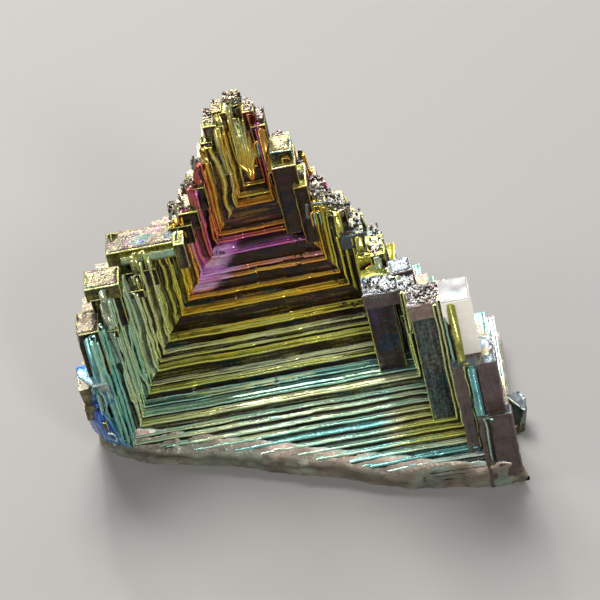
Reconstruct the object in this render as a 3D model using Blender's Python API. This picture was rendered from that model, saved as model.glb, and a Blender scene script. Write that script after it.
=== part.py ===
"""Bismuth hopper crystal, one solid grown as a skeletal four-armed pyramid.

Square frames nest downwards from a nucleus under the tip. Each frame is lower and farther out than the
last, so four funnels of ledges open between four arms. The front funnel is the large one. The crystal
leans to its left, lies on a flat base and ends at the front in a rough broken rim.

Lengths of the crystal's own features are in millimetres, measured from the nucleus along three axes:
across (to the right along the ledges), up (square to the ledges) and out (towards the front).
"""

import math
import random

import bmesh
import bpy
from mathutils import Matrix, Vector

MM = 0.001
NAME = "bismuth_crystal"

# Pose: the crystal leans and turns a little, and its nucleus stands above the middle of the base.
LEAN = math.radians(11.0)
TURN = math.radians(3.0)
NUCLEUS_MM = Vector((-5.65, 2.30, 25.2))

# Front funnel: drop and advance of each ledge, from the nucleus to the rim.
FRONT_LEDGES = (
    (0.68, 0.50),
    (0.81, 0.67),
    (0.41, 1.00),
    (2.84, 0.50),
    (0.41, 0.65),
    (1.08, 0.83),
    (1.89, 0.50),
    (0.41, 0.50),
    (1.62, 0.50),
    (1.08, 1.00),
    (2.30, 1.15),
    (0.95, 0.65),
    (0.68, 0.33),
    (0.41, 1.00),
    (1.35, 0.60),
    (0.27, 0.95),
    (0.82, 1.10),
    (0.28, 1.20),
    (0.34, 0.95),
    (0.95, 0.55),
    (0.41, 0.62),
)
RIM_LEDGES = 14
RIM_LEDGE = (0.54, 0.62)

# Steps that climb back from the nucleus to the tip: rise, set-back and half width of each.
TIP_STEPS = (
    (1.3, 0.55, 0.80),
    (1.5, 0.50, 0.65),
    (1.7, 0.45, 0.55),
    (1.8, 0.45, 0.45),
    (1.6, 0.40, 0.35),
)

# Side and back funnels: the same nested ledges, coarser.
SIDE_LEDGES = 15
SIDE_DROPS = (1.9, 0.8, 2.4, 1.1)
SIDE_ADVANCES = (0.9, 1.5, 1.0, 1.6)
SIDE_FUNNELS = {
    "right_funnel": {
        "turn": 90.0,
        "out": (5.5, 22.0),
        "left": (0.2, -15.5),
        "left_bend": 1.35,
        "right": (1.8, 14.0),
        "right_bend": 1.0,
        "floor": (-5.0, -29.0),
    },
    "left_funnel": {
        "turn": -90.0,
        "out": (5.5, 20.0),
        "left": (-2.4, -13.0),
        "left_bend": 1.0,
        "right": (-0.5, 12.0),
        "right_bend": 1.8,
        "floor": (-5.0, -21.5),
    },
    "back_funnel": {
        "turn": 180.0,
        "out": (4.3, 15.0),
        "left": (-1.6, -12.5),
        "left_bend": 1.0,
        "right": (1.2, 12.0),
        "right_bend": 1.0,
        "floor": (-4.0, -25.0),
    },
}
MOUTH = 60.0
CEILING = 30.0
CEILING_STEP = 0.05

# Arms that frame the front funnel: front plane, outer edge, inner edge, top, top of the inner shoulder.
LEFT_ARM = (
    (0.3, -2.1, -1.2, 9.2, 7.2),
    (1.1, -3.3, -2.0, 8.1, 6.0),
    (1.6, -3.9, -2.8, 6.5, 4.6),
    (2.0, -4.8, -3.4, 4.2, 2.7),
    (3.4, -6.3, -4.5, 2.3, 0.6),
    (4.7, -7.7, -5.7, 0.4, -1.4),
    (5.2, -9.0, -6.6, -0.8, -2.6),
    (6.6, -15.2, -9.2, -2.2, -3.0),
    (8.0, -15.5, -11.0, -3.4, -4.3),
    (9.6, -15.9, -12.6, -4.6, -6.0),
    (12.4, -17.6, -14.6, -2.2, -6.6),
    (14.0, -18.2, -15.6, -5.6, -8.4),
    (15.5, -19.2, -17.2, -4.3, -9.4),
    (17.0, -20.6, -17.9, -10.2, -12.4),
    (18.8, -21.2, -18.7, -13.6, -15.2),
)
RIGHT_ARM = (
    (0.2, 2.0, 0.9, 8.4, 6.6),
    (0.9, 2.9, 1.5, 6.9, 5.2),
    (1.4, 4.9, 2.8, 3.5, 3.1),
    (2.2, 4.7, 2.3, 1.7, 1.1),
    (3.1, 5.8, 4.4, 0.9, -0.6),
    (4.4, 7.4, 5.4, -1.4, -3.0),
    (5.4, 9.3, 7.4, -2.5, -4.4),
    (6.4, 10.6, 8.2, -4.8, -6.6),
    (8.2, 12.5, 9.6, -6.6, -8.8),
    (10.6, 14.4, 11.6, -10.4, -12.0),
    (12.8, 15.8, 13.0, -11.6, -12.8),
    (15.4, 17.4, 14.6, -10.6, -12.6),
    (17.4, 19.6, 16.4, -12.0, -13.4),
    (19.4, 21.4, 17.6, -14.2, -15.4),
    (21.6, 22.4, 19.0, -19.6, -20.6),
)

# Arms behind: back plane, left edge, right edge, top.
BACK_ARMS = (
    (2.0, -1.4, 1.2, 7.4),
    (3.0, -2.8, 2.2, 4.6),
    (4.0, -4.2, 3.3, 1.8),
    (5.2, -5.6, 5.1, -1.4),
    (6.5, -6.9, 6.4, -4.8),
    (8.0, -8.4, 7.0, -8.0),
    (9.4, -10.2, 7.5, -11.4),
    (11.0, -12.4, 7.9, -15.0),
    (12.8, -14.6, 8.2, -18.4),
    (14.6, -16.4, 9.2, -21.9),
    (15.3, -17.4, 12.4, -27.2),
)
CORE_FOOT = -36.0
# How far the arms reach back past the nucleus, how much lower a shoulder stands back, and the small slip from
# step to step that keeps hidden faces out of one plane.
ARM_ROOT = 2.1
SHOULDER_BACK = 0.08
SHOULDER_ROOT = 0.3
SLIP = 0.013

# Blocks grown on the arms after the funnels: (left, right), (back, front), (low, high), (pitch, roll, yaw).
LEVEL = (0.0, 0.0, 0.0)
CORNICES = (
    ((-15.6, -8.0), (4.1, 7.3), (-2.7, -1.0), LEVEL),
    ((-14.3, -8.7), (6.9, 7.6), (-2.2, -1.6), LEVEL),
    ((-8.6, -7.6), (5.8, 7.8), (-4.1, -1.1), LEVEL),
    ((-17.8, -14.4), (10.1, 12.9), (-2.2, -0.7), LEVEL),
    ((-17.5, -16.1), (10.8, 13.1), (-4.8, -1.9), LEVEL),
    ((-19.4, -17.3), (12.6, 16.0), (-9.6, -3.8), (0.0, 0.0, 2.0)),
    ((-20.8, -17.8), (14.2, 17.5), (-12.2, -9.4), (4.0, -4.0, 4.0)),
    ((-20.8, -19.0), (15.4, 18.1), (-17.5, -11.8), (-3.0, 3.0, 0.0)),
)
PILLARS = (
    ((2.8, 4.9), (0.1, 2.8), (2.6, 4.2), (0.0, 3.0, 0.0)),
    ((5.3, 7.4), (2.4, 4.8), (-3.2, -1.3), (0.0, 7.0, 0.0)),
    ((8.2, 10.6), (4.2, 6.8), (-6.4, -4.7), (0.0, 2.0, 3.0)),
    ((9.6, 12.5), (5.4, 8.6), (-11.0, -6.4), LEVEL),
    ((9.7, 12.5), (8.8, 13.2), (-19.4, -7.9), LEVEL),
    ((9.6, 15.0), (10.4, 13.4), (-9.4, -7.7), (0.0, 1.0, 0.0)),
    ((12.7, 15.1), (8.6, 10.9), (-12.6, -7.4), (0.0, -2.0, 4.0)),
    ((14.3, 17.7), (15.0, 17.9), (-22.6, -6.2), LEVEL),
    ((17.7, 20.4), (15.7, 18.7), (-20.0, -5.1), (5.0, 0.0, 0.0)),
    ((17.4, 21.9), (16.6, 20.8), (-32.0, -13.0), LEVEL),
    ((20.9, 22.9), (10.4, 13.4), (-36.0, -26.6), (4.0, 8.0, 12.0)),
)
TIP_CRYSTALS = (
    ((-0.9, 0.9), (-2.9, -1.0), (6.0, 9.3), (-6.0, 4.0, 10.0)),
    ((-1.5, -0.4), (-2.4, -0.5), (5.5, 8.7), (-5.0, -6.0, -12.0)),
    ((0.6, 1.7), (-2.4, -0.4), (4.6, 8.3), (3.0, 8.0, 16.0)),
    ((1.4, 2.5), (-1.6, 0.5), (3.6, 6.2), (0.0, 5.0, -10.0)),
    ((-0.5, 0.4), (-3.4, -1.9), (5.0, 8.4), (-14.0, 0.0, 30.0)),
)
# Thin blades that fan out of the nucleus: tilt sideways, length and how far forward each stands.
FAN_BLADES = ((-24.0, 5.6, 0.45), (-15.0, 6.6, 0.15), (-6.0, 7.4, -0.1), (3.0, 7.0, -0.2), (11.0, 5.2, 0.2))
BLADE_THICK = 0.34
BLADE_DEEP = 2.2
BLADE_PROUD = 0.5
BLADE_FOOT = (0.12, 0.3)
BLADE_RAKE = 0.32
BLADE_PITCH = -20.0

# Straight ribs: where each stands across, its front plane, foot and top.
RIB_WIDTH = 0.34
RIB_DEEP = 3.0
SIDE_RIBS = (
    (12.85, 11.9, -19.2, -10.2),
    (13.45, 12.4, -19.4, -10.9),
    (14.0, 13.2, -19.8, -11.6),
    (17.6, 18.9, -24.0, -9.0),
)
# Sunk hollows: the arched window, the square recess and the grooves of the last pillar.
ARCH_CENTRE = (11.05, 8.6, -8.6)
ARCH_RADIUS = 0.95
ARCH_DEEP = 1.8
ARCH_SIDES = 16
HOLLOWS = (
    ((-17.1, -16.5), (12.5, 14.0), (-4.2, -3.1)),
    ((17.9, 18.3), (20.2, 22.0), (-26.0, -15.4)),
    ((18.7, 19.05), (20.3, 22.0), (-25.0, -14.9)),
    ((19.4, 19.7), (20.4, 22.0), (-26.5, -16.0)),
)

# Small cubes that crust the tops of the arms.
CRUST_SEED = 7
CRUST_COUNT = 26
CRUST_SIZE = (0.7, 1.35)
CRUST_SPREAD = (0.35, 1.0)
CRUST_BACK = (0.1, 1.6)
CRUST_LIFT = (-0.35, 0.05)
CRUST_TILT = 22.0

# Broken rim, seen from above in millimetres from the nucleus, from the left end round to the right.
RIM_LINE = (
    (-24.0, -4.0),
    (-18.6, -8.0),
    (-17.6, -12.2),
    (-14.9, -15.4),
    (-12.4, -16.7),
    (-8.8, -17.3),
    (-4.6, -17.5),
    (0.2, -17.9),
    (4.4, -19.1),
    (9.4, -19.4),
    (14.2, -20.7),
    (19.4, -21.6),
    (22.9, -22.6),
    (26.0, -20.7),
    (30.0, -19.6),
)
# How far the break is cut back under the line at each height above the base. Above the rim it leans outwards,
# so that the blocks on the left arm stand over it.
RIM_RINGS = ((-1.0, 0.5), (0.9, 0.5), (1.9, 0.0), (2.9, 0.0), (4.0, -2.4), (8.0, -4.4))
RIM_BEYOND = ((46.0, -24.0), (46.0, -60.0), (-46.0, -60.0), (-46.0, -9.0))
RIM_PIECE = 2.2
RIM_SEED = 3
RIM_ROUGH = 0.28

# The block below the flat base.
GROUND_SIZE = (200.0, 200.0, 50.0)

BISMUTH_COLOR = (0.62, 0.52, 0.30, 1.0)
BISMUTH_METALLIC = 0.9
BISMUTH_ROUGHNESS = 0.25


def clear_scene():
    """Removes every object, so that the file starts empty."""
    for item in list(bpy.data.objects):
        bpy.data.objects.remove(item, do_unlink=True)


def point(across, out, up):
    """A place on the crystal's own axes, in metres."""
    return Vector((across, -out, up)) * MM


def add_block(mesh, across, out, up, tilt=LEVEL):
    """Adds a closed box from its (low, high) pairs, turned about its own centre by tilt in degrees."""
    centre = point(sum(across) / 2, sum(out) / 2, sum(up) / 2)
    size = Vector((across[1] - across[0], out[1] - out[0], up[1] - up[0])) * MM
    pitch, roll, yaw = (math.radians(angle) for angle in tilt)
    turn = Matrix.Rotation(yaw, 4, "Z") @ Matrix.Rotation(roll, 4, "Y") @ Matrix.Rotation(pitch, 4, "X")
    place = Matrix.Translation(centre) @ turn @ Matrix.Diagonal((*size, 1.0))
    bmesh.ops.create_cube(mesh, size=1.0, matrix=place)


def grow(cap, mesh, keep=False):
    """Extrudes a cap face in place and gives back the new cap; the old one stays only as the end face."""
    made = bmesh.ops.extrude_face_region(mesh, geom=[cap])
    if not keep:
        bmesh.ops.delete(mesh, geom=[cap], context="FACES_ONLY")
    return next(item for item in made["geom"] if isinstance(item, bmesh.types.BMFace))


def fit_cap(cap, out, left, right, floor, ceiling):
    """Moves the four corners of a cap to a rectangle that stands out from the nucleus."""
    centre = cap.calc_center_median()
    for corner in cap.verts:
        across = left if corner.co.x < centre.x else right
        up = floor if corner.co.z < centre.z else ceiling
        corner.co = point(across, out, up)


def stepped_funnel(frames, mouth):
    """A closed horn of nested rectangles, each (out, left, right, floor), that opens towards the front."""
    mesh = bmesh.new()
    out, left, right, floor = frames[0]
    ceiling = CEILING
    corners = ((left, floor), (right, floor), (right, ceiling), (left, ceiling))
    cap = mesh.faces.new([mesh.verts.new(point(across, out, up)) for across, up in corners])
    for step, following in enumerate(frames[1:], start=1):
        cap = grow(cap, mesh, keep=step == 1)
        fit_cap(cap, following[0], left, right, floor, ceiling)
        cap = grow(cap, mesh)
        out, left, right, floor = following
        ceiling = CEILING + CEILING_STEP * step
        fit_cap(cap, out, left, right, floor, ceiling)
    cap = grow(cap, mesh)
    fit_cap(cap, mouth, left, right, floor, ceiling)
    bmesh.ops.recalc_face_normals(mesh, faces=mesh.faces)
    return mesh


def valley_edges(depth):
    """Left and right edges of the front ledge that lies depth below the nucleus."""
    left = -0.3 - 0.85 * depth
    right = 1.0 + 0.55 * depth + 0.0072 * depth * depth
    return left, right


def front_frames():
    """The front funnel's frames: the steps that climb to the tip, then the ledges down to the rim."""
    frames = []
    out = -sum(set_back for _, set_back, _ in TIP_STEPS)
    floor = sum(rise for rise, _, _ in TIP_STEPS)
    for rise, set_back, half in reversed(TIP_STEPS):
        frames.append((out, -half, 1.25 * half, floor))
        out += set_back
        floor -= rise
    depth = 0.0
    for drop, advance in FRONT_LEDGES + (RIM_LEDGE,) * RIM_LEDGES:
        depth += drop
        frames.append((out, *valley_edges(depth), -depth))
        out += advance
    return frames


def running_share(pattern, count):
    """Count + 1 shares from 0 to 1 whose steps repeat a pattern of sizes."""
    steps = [pattern[index % len(pattern)] for index in range(count)]
    shares = [0.0]
    for step in steps:
        shares.append(shares[-1] + step)
    return [share / shares[-1] for share in shares]


def side_frames(funnel):
    """A side funnel's frames, from its deepest corner out to its mouth."""
    frames = []
    advances = running_share(SIDE_ADVANCES, SIDE_LEDGES)
    drops = running_share(SIDE_DROPS, SIDE_LEDGES)
    for advance, drop in zip(advances, drops):
        out = mix(funnel["out"], advance)
        left = mix(funnel["left"], advance ** funnel["left_bend"])
        right = mix(funnel["right"], advance ** funnel["right_bend"])
        frames.append((out, left, right, mix(funnel["floor"], drop)))
    return frames


def mix(ends, share):
    """The value a share of the way between two ends."""
    return ends[0] + (ends[1] - ends[0]) * share


def pose():
    """The matrix that leans and turns the crystal and stands its nucleus over the base."""
    turn = Matrix.Rotation(TURN, 4, "Z") @ Matrix.Rotation(-LEAN, 4, "Y")
    return Matrix.Translation(NUCLEUS_MM * MM) @ turn


def make_object(name, mesh, place):
    """Turns a bmesh into an object with a place."""
    data = bpy.data.meshes.new(name)
    mesh.to_mesh(data)
    mesh.free()
    item = bpy.data.objects.new(name, data)
    item.matrix_world = place
    bpy.context.scene.collection.objects.link(item)
    return item


def make_tool(name, mesh, place):
    """An object that only shapes the crystal, so it is hidden from a render."""
    item = make_object(name, mesh, place)
    item.hide_render = True
    item.display_type = "WIRE"
    return item


def block_mesh(across, out, up, tilt=LEVEL):
    """One closed box as a mesh of its own."""
    mesh = bmesh.new()
    add_block(mesh, across, out, up, tilt)
    return mesh


def arm_step(step, side, sizes):
    """One step of a front arm: its block, and the lower shoulder inside it that reaches to the nucleus."""
    front, outer, inner, top, shoulder = sizes
    slip = SLIP * step + 0.1 * SLIP * side
    root = -ARM_ROOT - slip
    middle = -side * (SHOULDER_ROOT + slip)
    low_out = (root - 2.0 * SHOULDER_BACK, front - SHOULDER_BACK)
    return (
        (sorted((outer, inner)), (root, front), (CORE_FOOT - slip, top), LEVEL),
        (sorted((outer - side * SHOULDER_BACK, middle)), low_out, (CORE_FOOT + slip, shoulder), LEVEL),
    )


def arm_blocks():
    """The solid arms before their funnels open."""
    spans = []
    for side, arm in ((-1, LEFT_ARM), (1, RIGHT_ARM)):
        for step, sizes in enumerate(arm):
            spans.extend(arm_step(step, side, sizes))
    for step, (back, left, right, top) in enumerate(BACK_ARMS):
        slip = SLIP * (step + 0.5)
        out = (-back, ARM_ROOT * SHOULDER_BACK + slip)
        spans.append(((left, right), out, (CORE_FOOT - slip, top), LEVEL))
    return spans


def fan_and_ribs():
    """The blades that fan out of the nucleus and the straight ribs beside the pillars."""
    spans = []
    half = 0.5 * BLADE_THICK
    for roll, length, out in FAN_BLADES:
        lean = math.radians(roll)
        across = BLADE_FOOT[0] + 0.5 * length * math.sin(lean)
        up = BLADE_FOOT[1] + 0.5 * length * math.cos(lean)
        front = out - BLADE_RAKE * up
        spans.append(
            (
                (across - half, across + half),
                (front - BLADE_DEEP, front + BLADE_PROUD),
                (up - 0.5 * length, up + 0.5 * length),
                (BLADE_PITCH, roll, 0.0),
            )
        )
    for across, front, foot, top in SIDE_RIBS:
        spans.append(((across, across + RIB_WIDTH), (front - RIB_DEEP, front), (foot, top), LEVEL))
    return spans


def crust():
    """Small tilted cubes that crust the tops of both arms."""
    draw = random.Random(CRUST_SEED)
    spans = []
    for index in range(CRUST_COUNT):
        arm = RIGHT_ARM if index % 3 else LEFT_ARM
        front, outer, inner, top, _ = arm[draw.randrange(1, len(arm) - 2)]
        half = 0.5 * draw.uniform(*CRUST_SIZE)
        across = mix((inner, outer), draw.uniform(*CRUST_SPREAD))
        out = front - draw.uniform(*CRUST_BACK)
        up = top + draw.uniform(*CRUST_LIFT)
        tilt = tuple(draw.uniform(-CRUST_TILT, CRUST_TILT) for _ in range(3))
        spans.append(((across - half, across + half), (out - half, out + half), (up - half, up + half), tilt))
    return spans


def arched_window():
    """The round cutter of the arched window."""
    mesh = bmesh.new()
    place = Matrix.Translation(point(*ARCH_CENTRE)) @ Matrix.Rotation(math.radians(90.0), 4, "X")
    radius = ARCH_RADIUS * MM
    sizes = {"radius1": radius, "radius2": radius, "depth": ARCH_DEEP * MM}
    bmesh.ops.create_cone(mesh, cap_ends=True, segments=ARCH_SIDES, matrix=place, **sizes)
    return mesh


def rim_break():
    """The block beyond the broken rim, whose inner wall is the rough break."""
    draw = random.Random(RIM_SEED)
    line = []
    for start, end in zip(RIM_LINE, RIM_LINE[1:]):
        pieces = max(1, round((Vector(end) - Vector(start)).length / RIM_PIECE))
        line += [Vector(start).lerp(Vector(end), piece / pieces) for piece in range(pieces)]
    line.append(Vector(RIM_LINE[-1]))
    mesh = bmesh.new()
    rings = []
    for height, undercut in RIM_RINGS:
        places = [Vector(spot) for spot in RIM_BEYOND]
        for spot in reversed(line):
            shift = Vector((draw.uniform(-1, 1), draw.uniform(-1, 1))) * RIM_ROUGH
            places.insert(0, spot + shift + Vector((0.0, undercut)))
        placed = [NUCLEUS_MM.xy + place for place in places]
        rings.append([mesh.verts.new(Vector((place.x, place.y, height)) * MM) for place in placed])
    for lower, upper in zip(rings, rings[1:]):
        for index in range(len(lower)):
            after = (index + 1) % len(lower)
            mesh.faces.new((lower[index], lower[after], upper[after], upper[index]))
    mesh.faces.new(rings[0])
    mesh.faces.new(rings[-1])
    bmesh.ops.triangulate(mesh, faces=[face for face in mesh.faces if len(face.verts) == 4])
    bmesh.ops.recalc_face_normals(mesh, faces=mesh.faces)
    return mesh


def ground():
    """Everything below the flat base."""
    mesh = bmesh.new()
    size = Vector(GROUND_SIZE) * MM
    place = Matrix.Translation((0.0, 0.0, -0.5 * size.z)) @ Matrix.Diagonal((*size, 1.0))
    bmesh.ops.create_cube(mesh, size=1.0, matrix=place)
    return mesh


def shape_with(crystal, tool, operation):
    """Joins a tool to the crystal or cuts it away."""
    step = crystal.modifiers.new(tool.name, "BOOLEAN")
    step.operation = operation
    step.solver = "EXACT"
    step.object = tool


def shape_with_blocks(crystal, name, spans, place, operation):
    """Joins or cuts a row of blocks, one after the other."""
    for index, span in enumerate(spans):
        tool = make_tool(f"{name}_{index}", block_mesh(*span), place)
        shape_with(crystal, tool, operation)


def bismuth():
    """The crystal's plain finish: warm tarnished metal."""
    material = bpy.data.materials.new("bismuth")
    material.use_nodes = True
    shader = material.node_tree.nodes["Principled BSDF"]
    shader.inputs["Base Color"].default_value = BISMUTH_COLOR
    shader.inputs["Metallic"].default_value = BISMUTH_METALLIC
    shader.inputs["Roughness"].default_value = BISMUTH_ROUGHNESS
    return material


def build():
    """Grows the crystal: arms, funnels, the blocks on the arms, hollows, the broken rim and the base."""
    clear_scene()
    place = pose()
    first, *others = arm_blocks()
    crystal = make_object(NAME, block_mesh(*first), place)
    crystal.data.materials.append(bismuth())
    shape_with_blocks(crystal, "arm", others, place, "UNION")
    shape_with(crystal, make_tool("front_funnel", stepped_funnel(front_frames(), MOUTH), place), "DIFFERENCE")
    for name, funnel in SIDE_FUNNELS.items():
        turned = place @ Matrix.Rotation(math.radians(funnel["turn"]), 4, "Z")
        horn = make_tool(name, stepped_funnel(side_frames(funnel), MOUTH), turned)
        shape_with(crystal, horn, "DIFFERENCE")
    for name, spans in (
        ("cornice", CORNICES),
        ("pillar", PILLARS),
        ("tip_crystal", TIP_CRYSTALS),
        ("rib", fan_and_ribs()),
        ("crust", crust()),
    ):
        shape_with_blocks(crystal, name, spans, place, "UNION")
    shape_with_blocks(crystal, "hollow", HOLLOWS, place, "DIFFERENCE")
    shape_with(crystal, make_tool("arched_window", arched_window(), place), "DIFFERENCE")
    level = Matrix.Identity(4)
    shape_with(crystal, make_tool("rim_break", rim_break(), level), "DIFFERENCE")
    shape_with(crystal, make_tool("ground", ground(), level), "DIFFERENCE")
    return crystal


build()
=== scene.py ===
"""Bismuth hopper crystal: its oxide-coloured ledges, arms, tip and broken rim on a studio floor.

Lengths of the crystal's own features are in millimetres from its nucleus, along three axes: across (to
the right along the ledges), up (square to the ledges) and out (towards the front).
"""

import logging
import math
from dataclasses import dataclass, field
from enum import Enum

import bmesh
import bpy
import numpy as np
from mathutils import Matrix, Vector
from mathutils.bvhtree import BVHTree


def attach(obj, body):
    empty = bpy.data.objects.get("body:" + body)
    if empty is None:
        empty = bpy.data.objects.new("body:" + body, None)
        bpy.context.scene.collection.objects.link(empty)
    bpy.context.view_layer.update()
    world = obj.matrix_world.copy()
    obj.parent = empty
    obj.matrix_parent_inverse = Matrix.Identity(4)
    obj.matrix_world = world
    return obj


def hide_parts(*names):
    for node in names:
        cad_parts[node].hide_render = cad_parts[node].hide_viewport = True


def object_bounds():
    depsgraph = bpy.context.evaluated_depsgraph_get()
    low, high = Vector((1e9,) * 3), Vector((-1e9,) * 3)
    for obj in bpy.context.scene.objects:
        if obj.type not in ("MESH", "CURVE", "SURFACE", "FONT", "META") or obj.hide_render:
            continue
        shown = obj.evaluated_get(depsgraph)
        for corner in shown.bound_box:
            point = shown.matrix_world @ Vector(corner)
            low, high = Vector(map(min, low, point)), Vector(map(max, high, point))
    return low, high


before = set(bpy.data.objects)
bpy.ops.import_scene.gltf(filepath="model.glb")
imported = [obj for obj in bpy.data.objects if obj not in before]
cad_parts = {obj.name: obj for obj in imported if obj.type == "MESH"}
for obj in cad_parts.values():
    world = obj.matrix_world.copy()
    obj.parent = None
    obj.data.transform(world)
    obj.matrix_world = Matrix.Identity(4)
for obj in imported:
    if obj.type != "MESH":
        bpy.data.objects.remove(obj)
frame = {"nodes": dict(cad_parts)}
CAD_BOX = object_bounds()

log = logging.getLogger("bismuth")

MM = 0.001
NODE = "bismuth_crystal"
DOWN = Vector((0.0, 0.0, -1.0))
# How far inside the CAD box every piece ends, in metres.
CLEAR = 2e-5

Pair = tuple[float, float]
Triple = tuple[float, float, float]
Colour = tuple[float, float, float, float]
Stops = tuple[tuple[float, Colour], ...]
Tree = bpy.types.NodeTree
Socket = bpy.types.NodeSocket


def mix(start: float, end: float, share: float) -> float:
    """The value a share of the way between two ends."""
    return start + (end - start) * share


def ease(value: np.ndarray, low: float, high: float) -> np.ndarray:
    """A smooth step from 0 at low to 1 at high."""
    share = np.clip((value - low) / (high - low), 0.0, 1.0)
    return share * share * (3.0 - 2.0 * share)


def band(value: np.ndarray, start: float, full: float, end: float, fade: float = 1.0) -> np.ndarray:
    """A smooth band: from 0 at its start to 1 where it is full, then back to 0 over a fade before its end."""
    return ease(value, start, full) * ease(end - value, 0.0, fade)


def tone(red: int, green: int, blue: int) -> Colour:
    """A colour as a shader takes it.

    Args:
        red: Its red, from 0 to 255, as a screen shows it.
        green: Its green.
        blue: Its blue.

    Returns:
        The linear shares of red, green and blue, and full opacity.
    """
    shares = [value / 255.0 for value in (red, green, blue)]
    linear = [share / 12.92 if share <= 0.04045 else ((share + 0.055) / 1.055) ** 2.4 for share in shares]
    return (*linear, 1.0)


@dataclass(frozen=True)
class Stance:
    """How the crystal leans and turns, and where its nucleus stands over the base."""

    lean: float = math.radians(11.0)
    turn: float = math.radians(3.0)
    nucleus: Triple = (-5.65, 2.30, 25.2)

    def matrix(self) -> Matrix:
        """The matrix from the crystal's own axes to the shared frame."""
        turned = Matrix.Rotation(self.turn, 4, "Z") @ Matrix.Rotation(-self.lean, 4, "Y")
        return Matrix.Translation(Vector(self.nucleus) * MM) @ turned


class Ripple:
    """Smooth seeded noise over places in millimetres."""

    CELLS = 32

    def __init__(self, seed: int) -> None:
        """Draws the lattice that the noise runs through, the same one for the same seed."""
        self.lattice = np.random.default_rng(seed).uniform(-1.0, 1.0, (self.CELLS,) * 3)

    def at(self, places: np.ndarray, pitch: float) -> np.ndarray:
        """The noise at some places.

        Args:
            places: An array whose last axis holds across, out and up.
            pitch: The distance from one swing to the next.

        Returns:
            One value from -1 to 1 for each place.
        """
        scaled = places / pitch
        low = np.floor(scaled).astype(int)
        share = scaled - low
        share = share * share * (3.0 - 2.0 * share)
        total = np.zeros(places.shape[:-1])
        for corner in range(8):
            bits = np.array([corner & 1, corner >> 1 & 1, corner >> 2 & 1])
            cell = (low + bits) % self.CELLS
            weight = np.prod(np.where(bits == 1, share, 1.0 - share), axis=-1)
            total += weight * self.lattice[cell[..., 0], cell[..., 1], cell[..., 2]]
        return total


@dataclass(frozen=True)
class Frame:
    """One square frame of the hopper: how far out it stands, its two side edges and its floor."""

    out: float
    left: float
    right: float
    floor: float


@dataclass
class Hopper:
    """The nested frames of the front funnel."""

    ledges: tuple[Pair, ...] = (
        (0.68, 0.50), (0.81, 0.67), (0.41, 1.00), (2.84, 0.50), (0.41, 0.65), (1.08, 0.83), (1.89, 0.50),
        (0.41, 0.50), (1.62, 0.50), (1.08, 1.00), (2.30, 1.15), (0.95, 0.65), (0.68, 0.33), (0.41, 1.00),
        (1.35, 0.60), (0.27, 0.95), (0.82, 1.10), (0.28, 1.20), (0.34, 0.95), (0.95, 0.55), (0.41, 0.62),
    )
    rim_ledges: int = 14
    rim_ledge: Pair = (0.54, 0.62)
    tip_steps: tuple[Triple, ...] = (
        (1.3, 0.55, 0.80),
        (1.5, 0.50, 0.65),
        (1.7, 0.45, 0.55),
        (1.8, 0.45, 0.45),
        (1.6, 0.40, 0.35),
    )
    tip_skew: float = 1.25
    left_line: Pair = (-0.3, -0.85)
    right_curve: Triple = (1.0, 0.55, 0.0072)

    def front(self) -> list[Frame]:
        """The front frames: the steps that climb to the tip, then the ledges down to the rim.

        Returns:
            The frames, from the tip's innermost one outwards.
        """
        frames = []
        out = -sum(set_back for _, set_back, _ in self.tip_steps)
        floor = sum(rise for rise, _, _ in self.tip_steps)
        for rise, set_back, half in reversed(self.tip_steps):
            frames.append(Frame(out, -half, self.tip_skew * half, floor))
            out += set_back
            floor -= rise
        depth = 0.0
        for drop, advance in self.ledges + (self.rim_ledge,) * self.rim_ledges:
            depth += drop
            left = self.left_line[0] + self.left_line[1] * depth
            right = self.right_curve[0] + self.right_curve[1] * depth + self.right_curve[2] * depth * depth
            frames.append(Frame(out, left, right, -depth))
            out += advance
        return frames


@dataclass(frozen=True)
class SideFunnel:
    """A coarse funnel of the sides or the back: its turn and the first and last of each measure."""

    name: str
    turn: float
    out: Pair
    left: Pair
    left_bend: float
    right: Pair
    right_bend: float
    floor: Pair

    LEDGES = 15
    DROPS = (1.9, 0.8, 2.4, 1.1)
    ADVANCES = (0.9, 1.5, 1.0, 1.6)

    def shares(self, pattern: tuple[float, ...]) -> list[float]:
        """Shares from 0 to 1 whose steps repeat a pattern of sizes.

        Args:
            pattern: The sizes, in turn.

        Returns:
            One share more than there are ledges.
        """
        steps = [pattern[index % len(pattern)] for index in range(self.LEDGES)]
        total = sum(steps)
        return [sum(steps[:index]) / total for index in range(self.LEDGES + 1)]

    def frames(self) -> list[Frame]:
        """The funnel's frames.

        Returns:
            The frames, from the deepest corner to the mouth.
        """
        frames = []
        for advance, drop in zip(self.shares(self.ADVANCES), self.shares(self.DROPS)):
            left = mix(*self.left, advance**self.left_bend)
            right = mix(*self.right, advance**self.right_bend)
            frames.append(Frame(mix(*self.out, advance), left, right, mix(*self.floor, drop)))
        return frames


SIDE_FUNNELS = (
    SideFunnel("right", 90.0, (5.5, 22.0), (0.2, -15.5), 1.35, (1.8, 14.0), 1.0, (-5.0, -29.0)),
    SideFunnel("left", -90.0, (5.5, 20.0), (-2.4, -13.0), 1.0, (-0.5, 12.0), 1.8, (-5.0, -21.5)),
    SideFunnel("back", 180.0, (4.3, 15.0), (-1.6, -12.5), 1.0, (1.2, 12.0), 1.0, (-4.0, -25.0)),
)


@dataclass(frozen=True)
class Grain:
    """Noise on the crystal's own axes: its pitch in millimetres, its finer layers and its stretch."""

    pitch: float
    detail: float
    stretch: Triple = (1.0, 1.0, 1.0)


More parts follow.
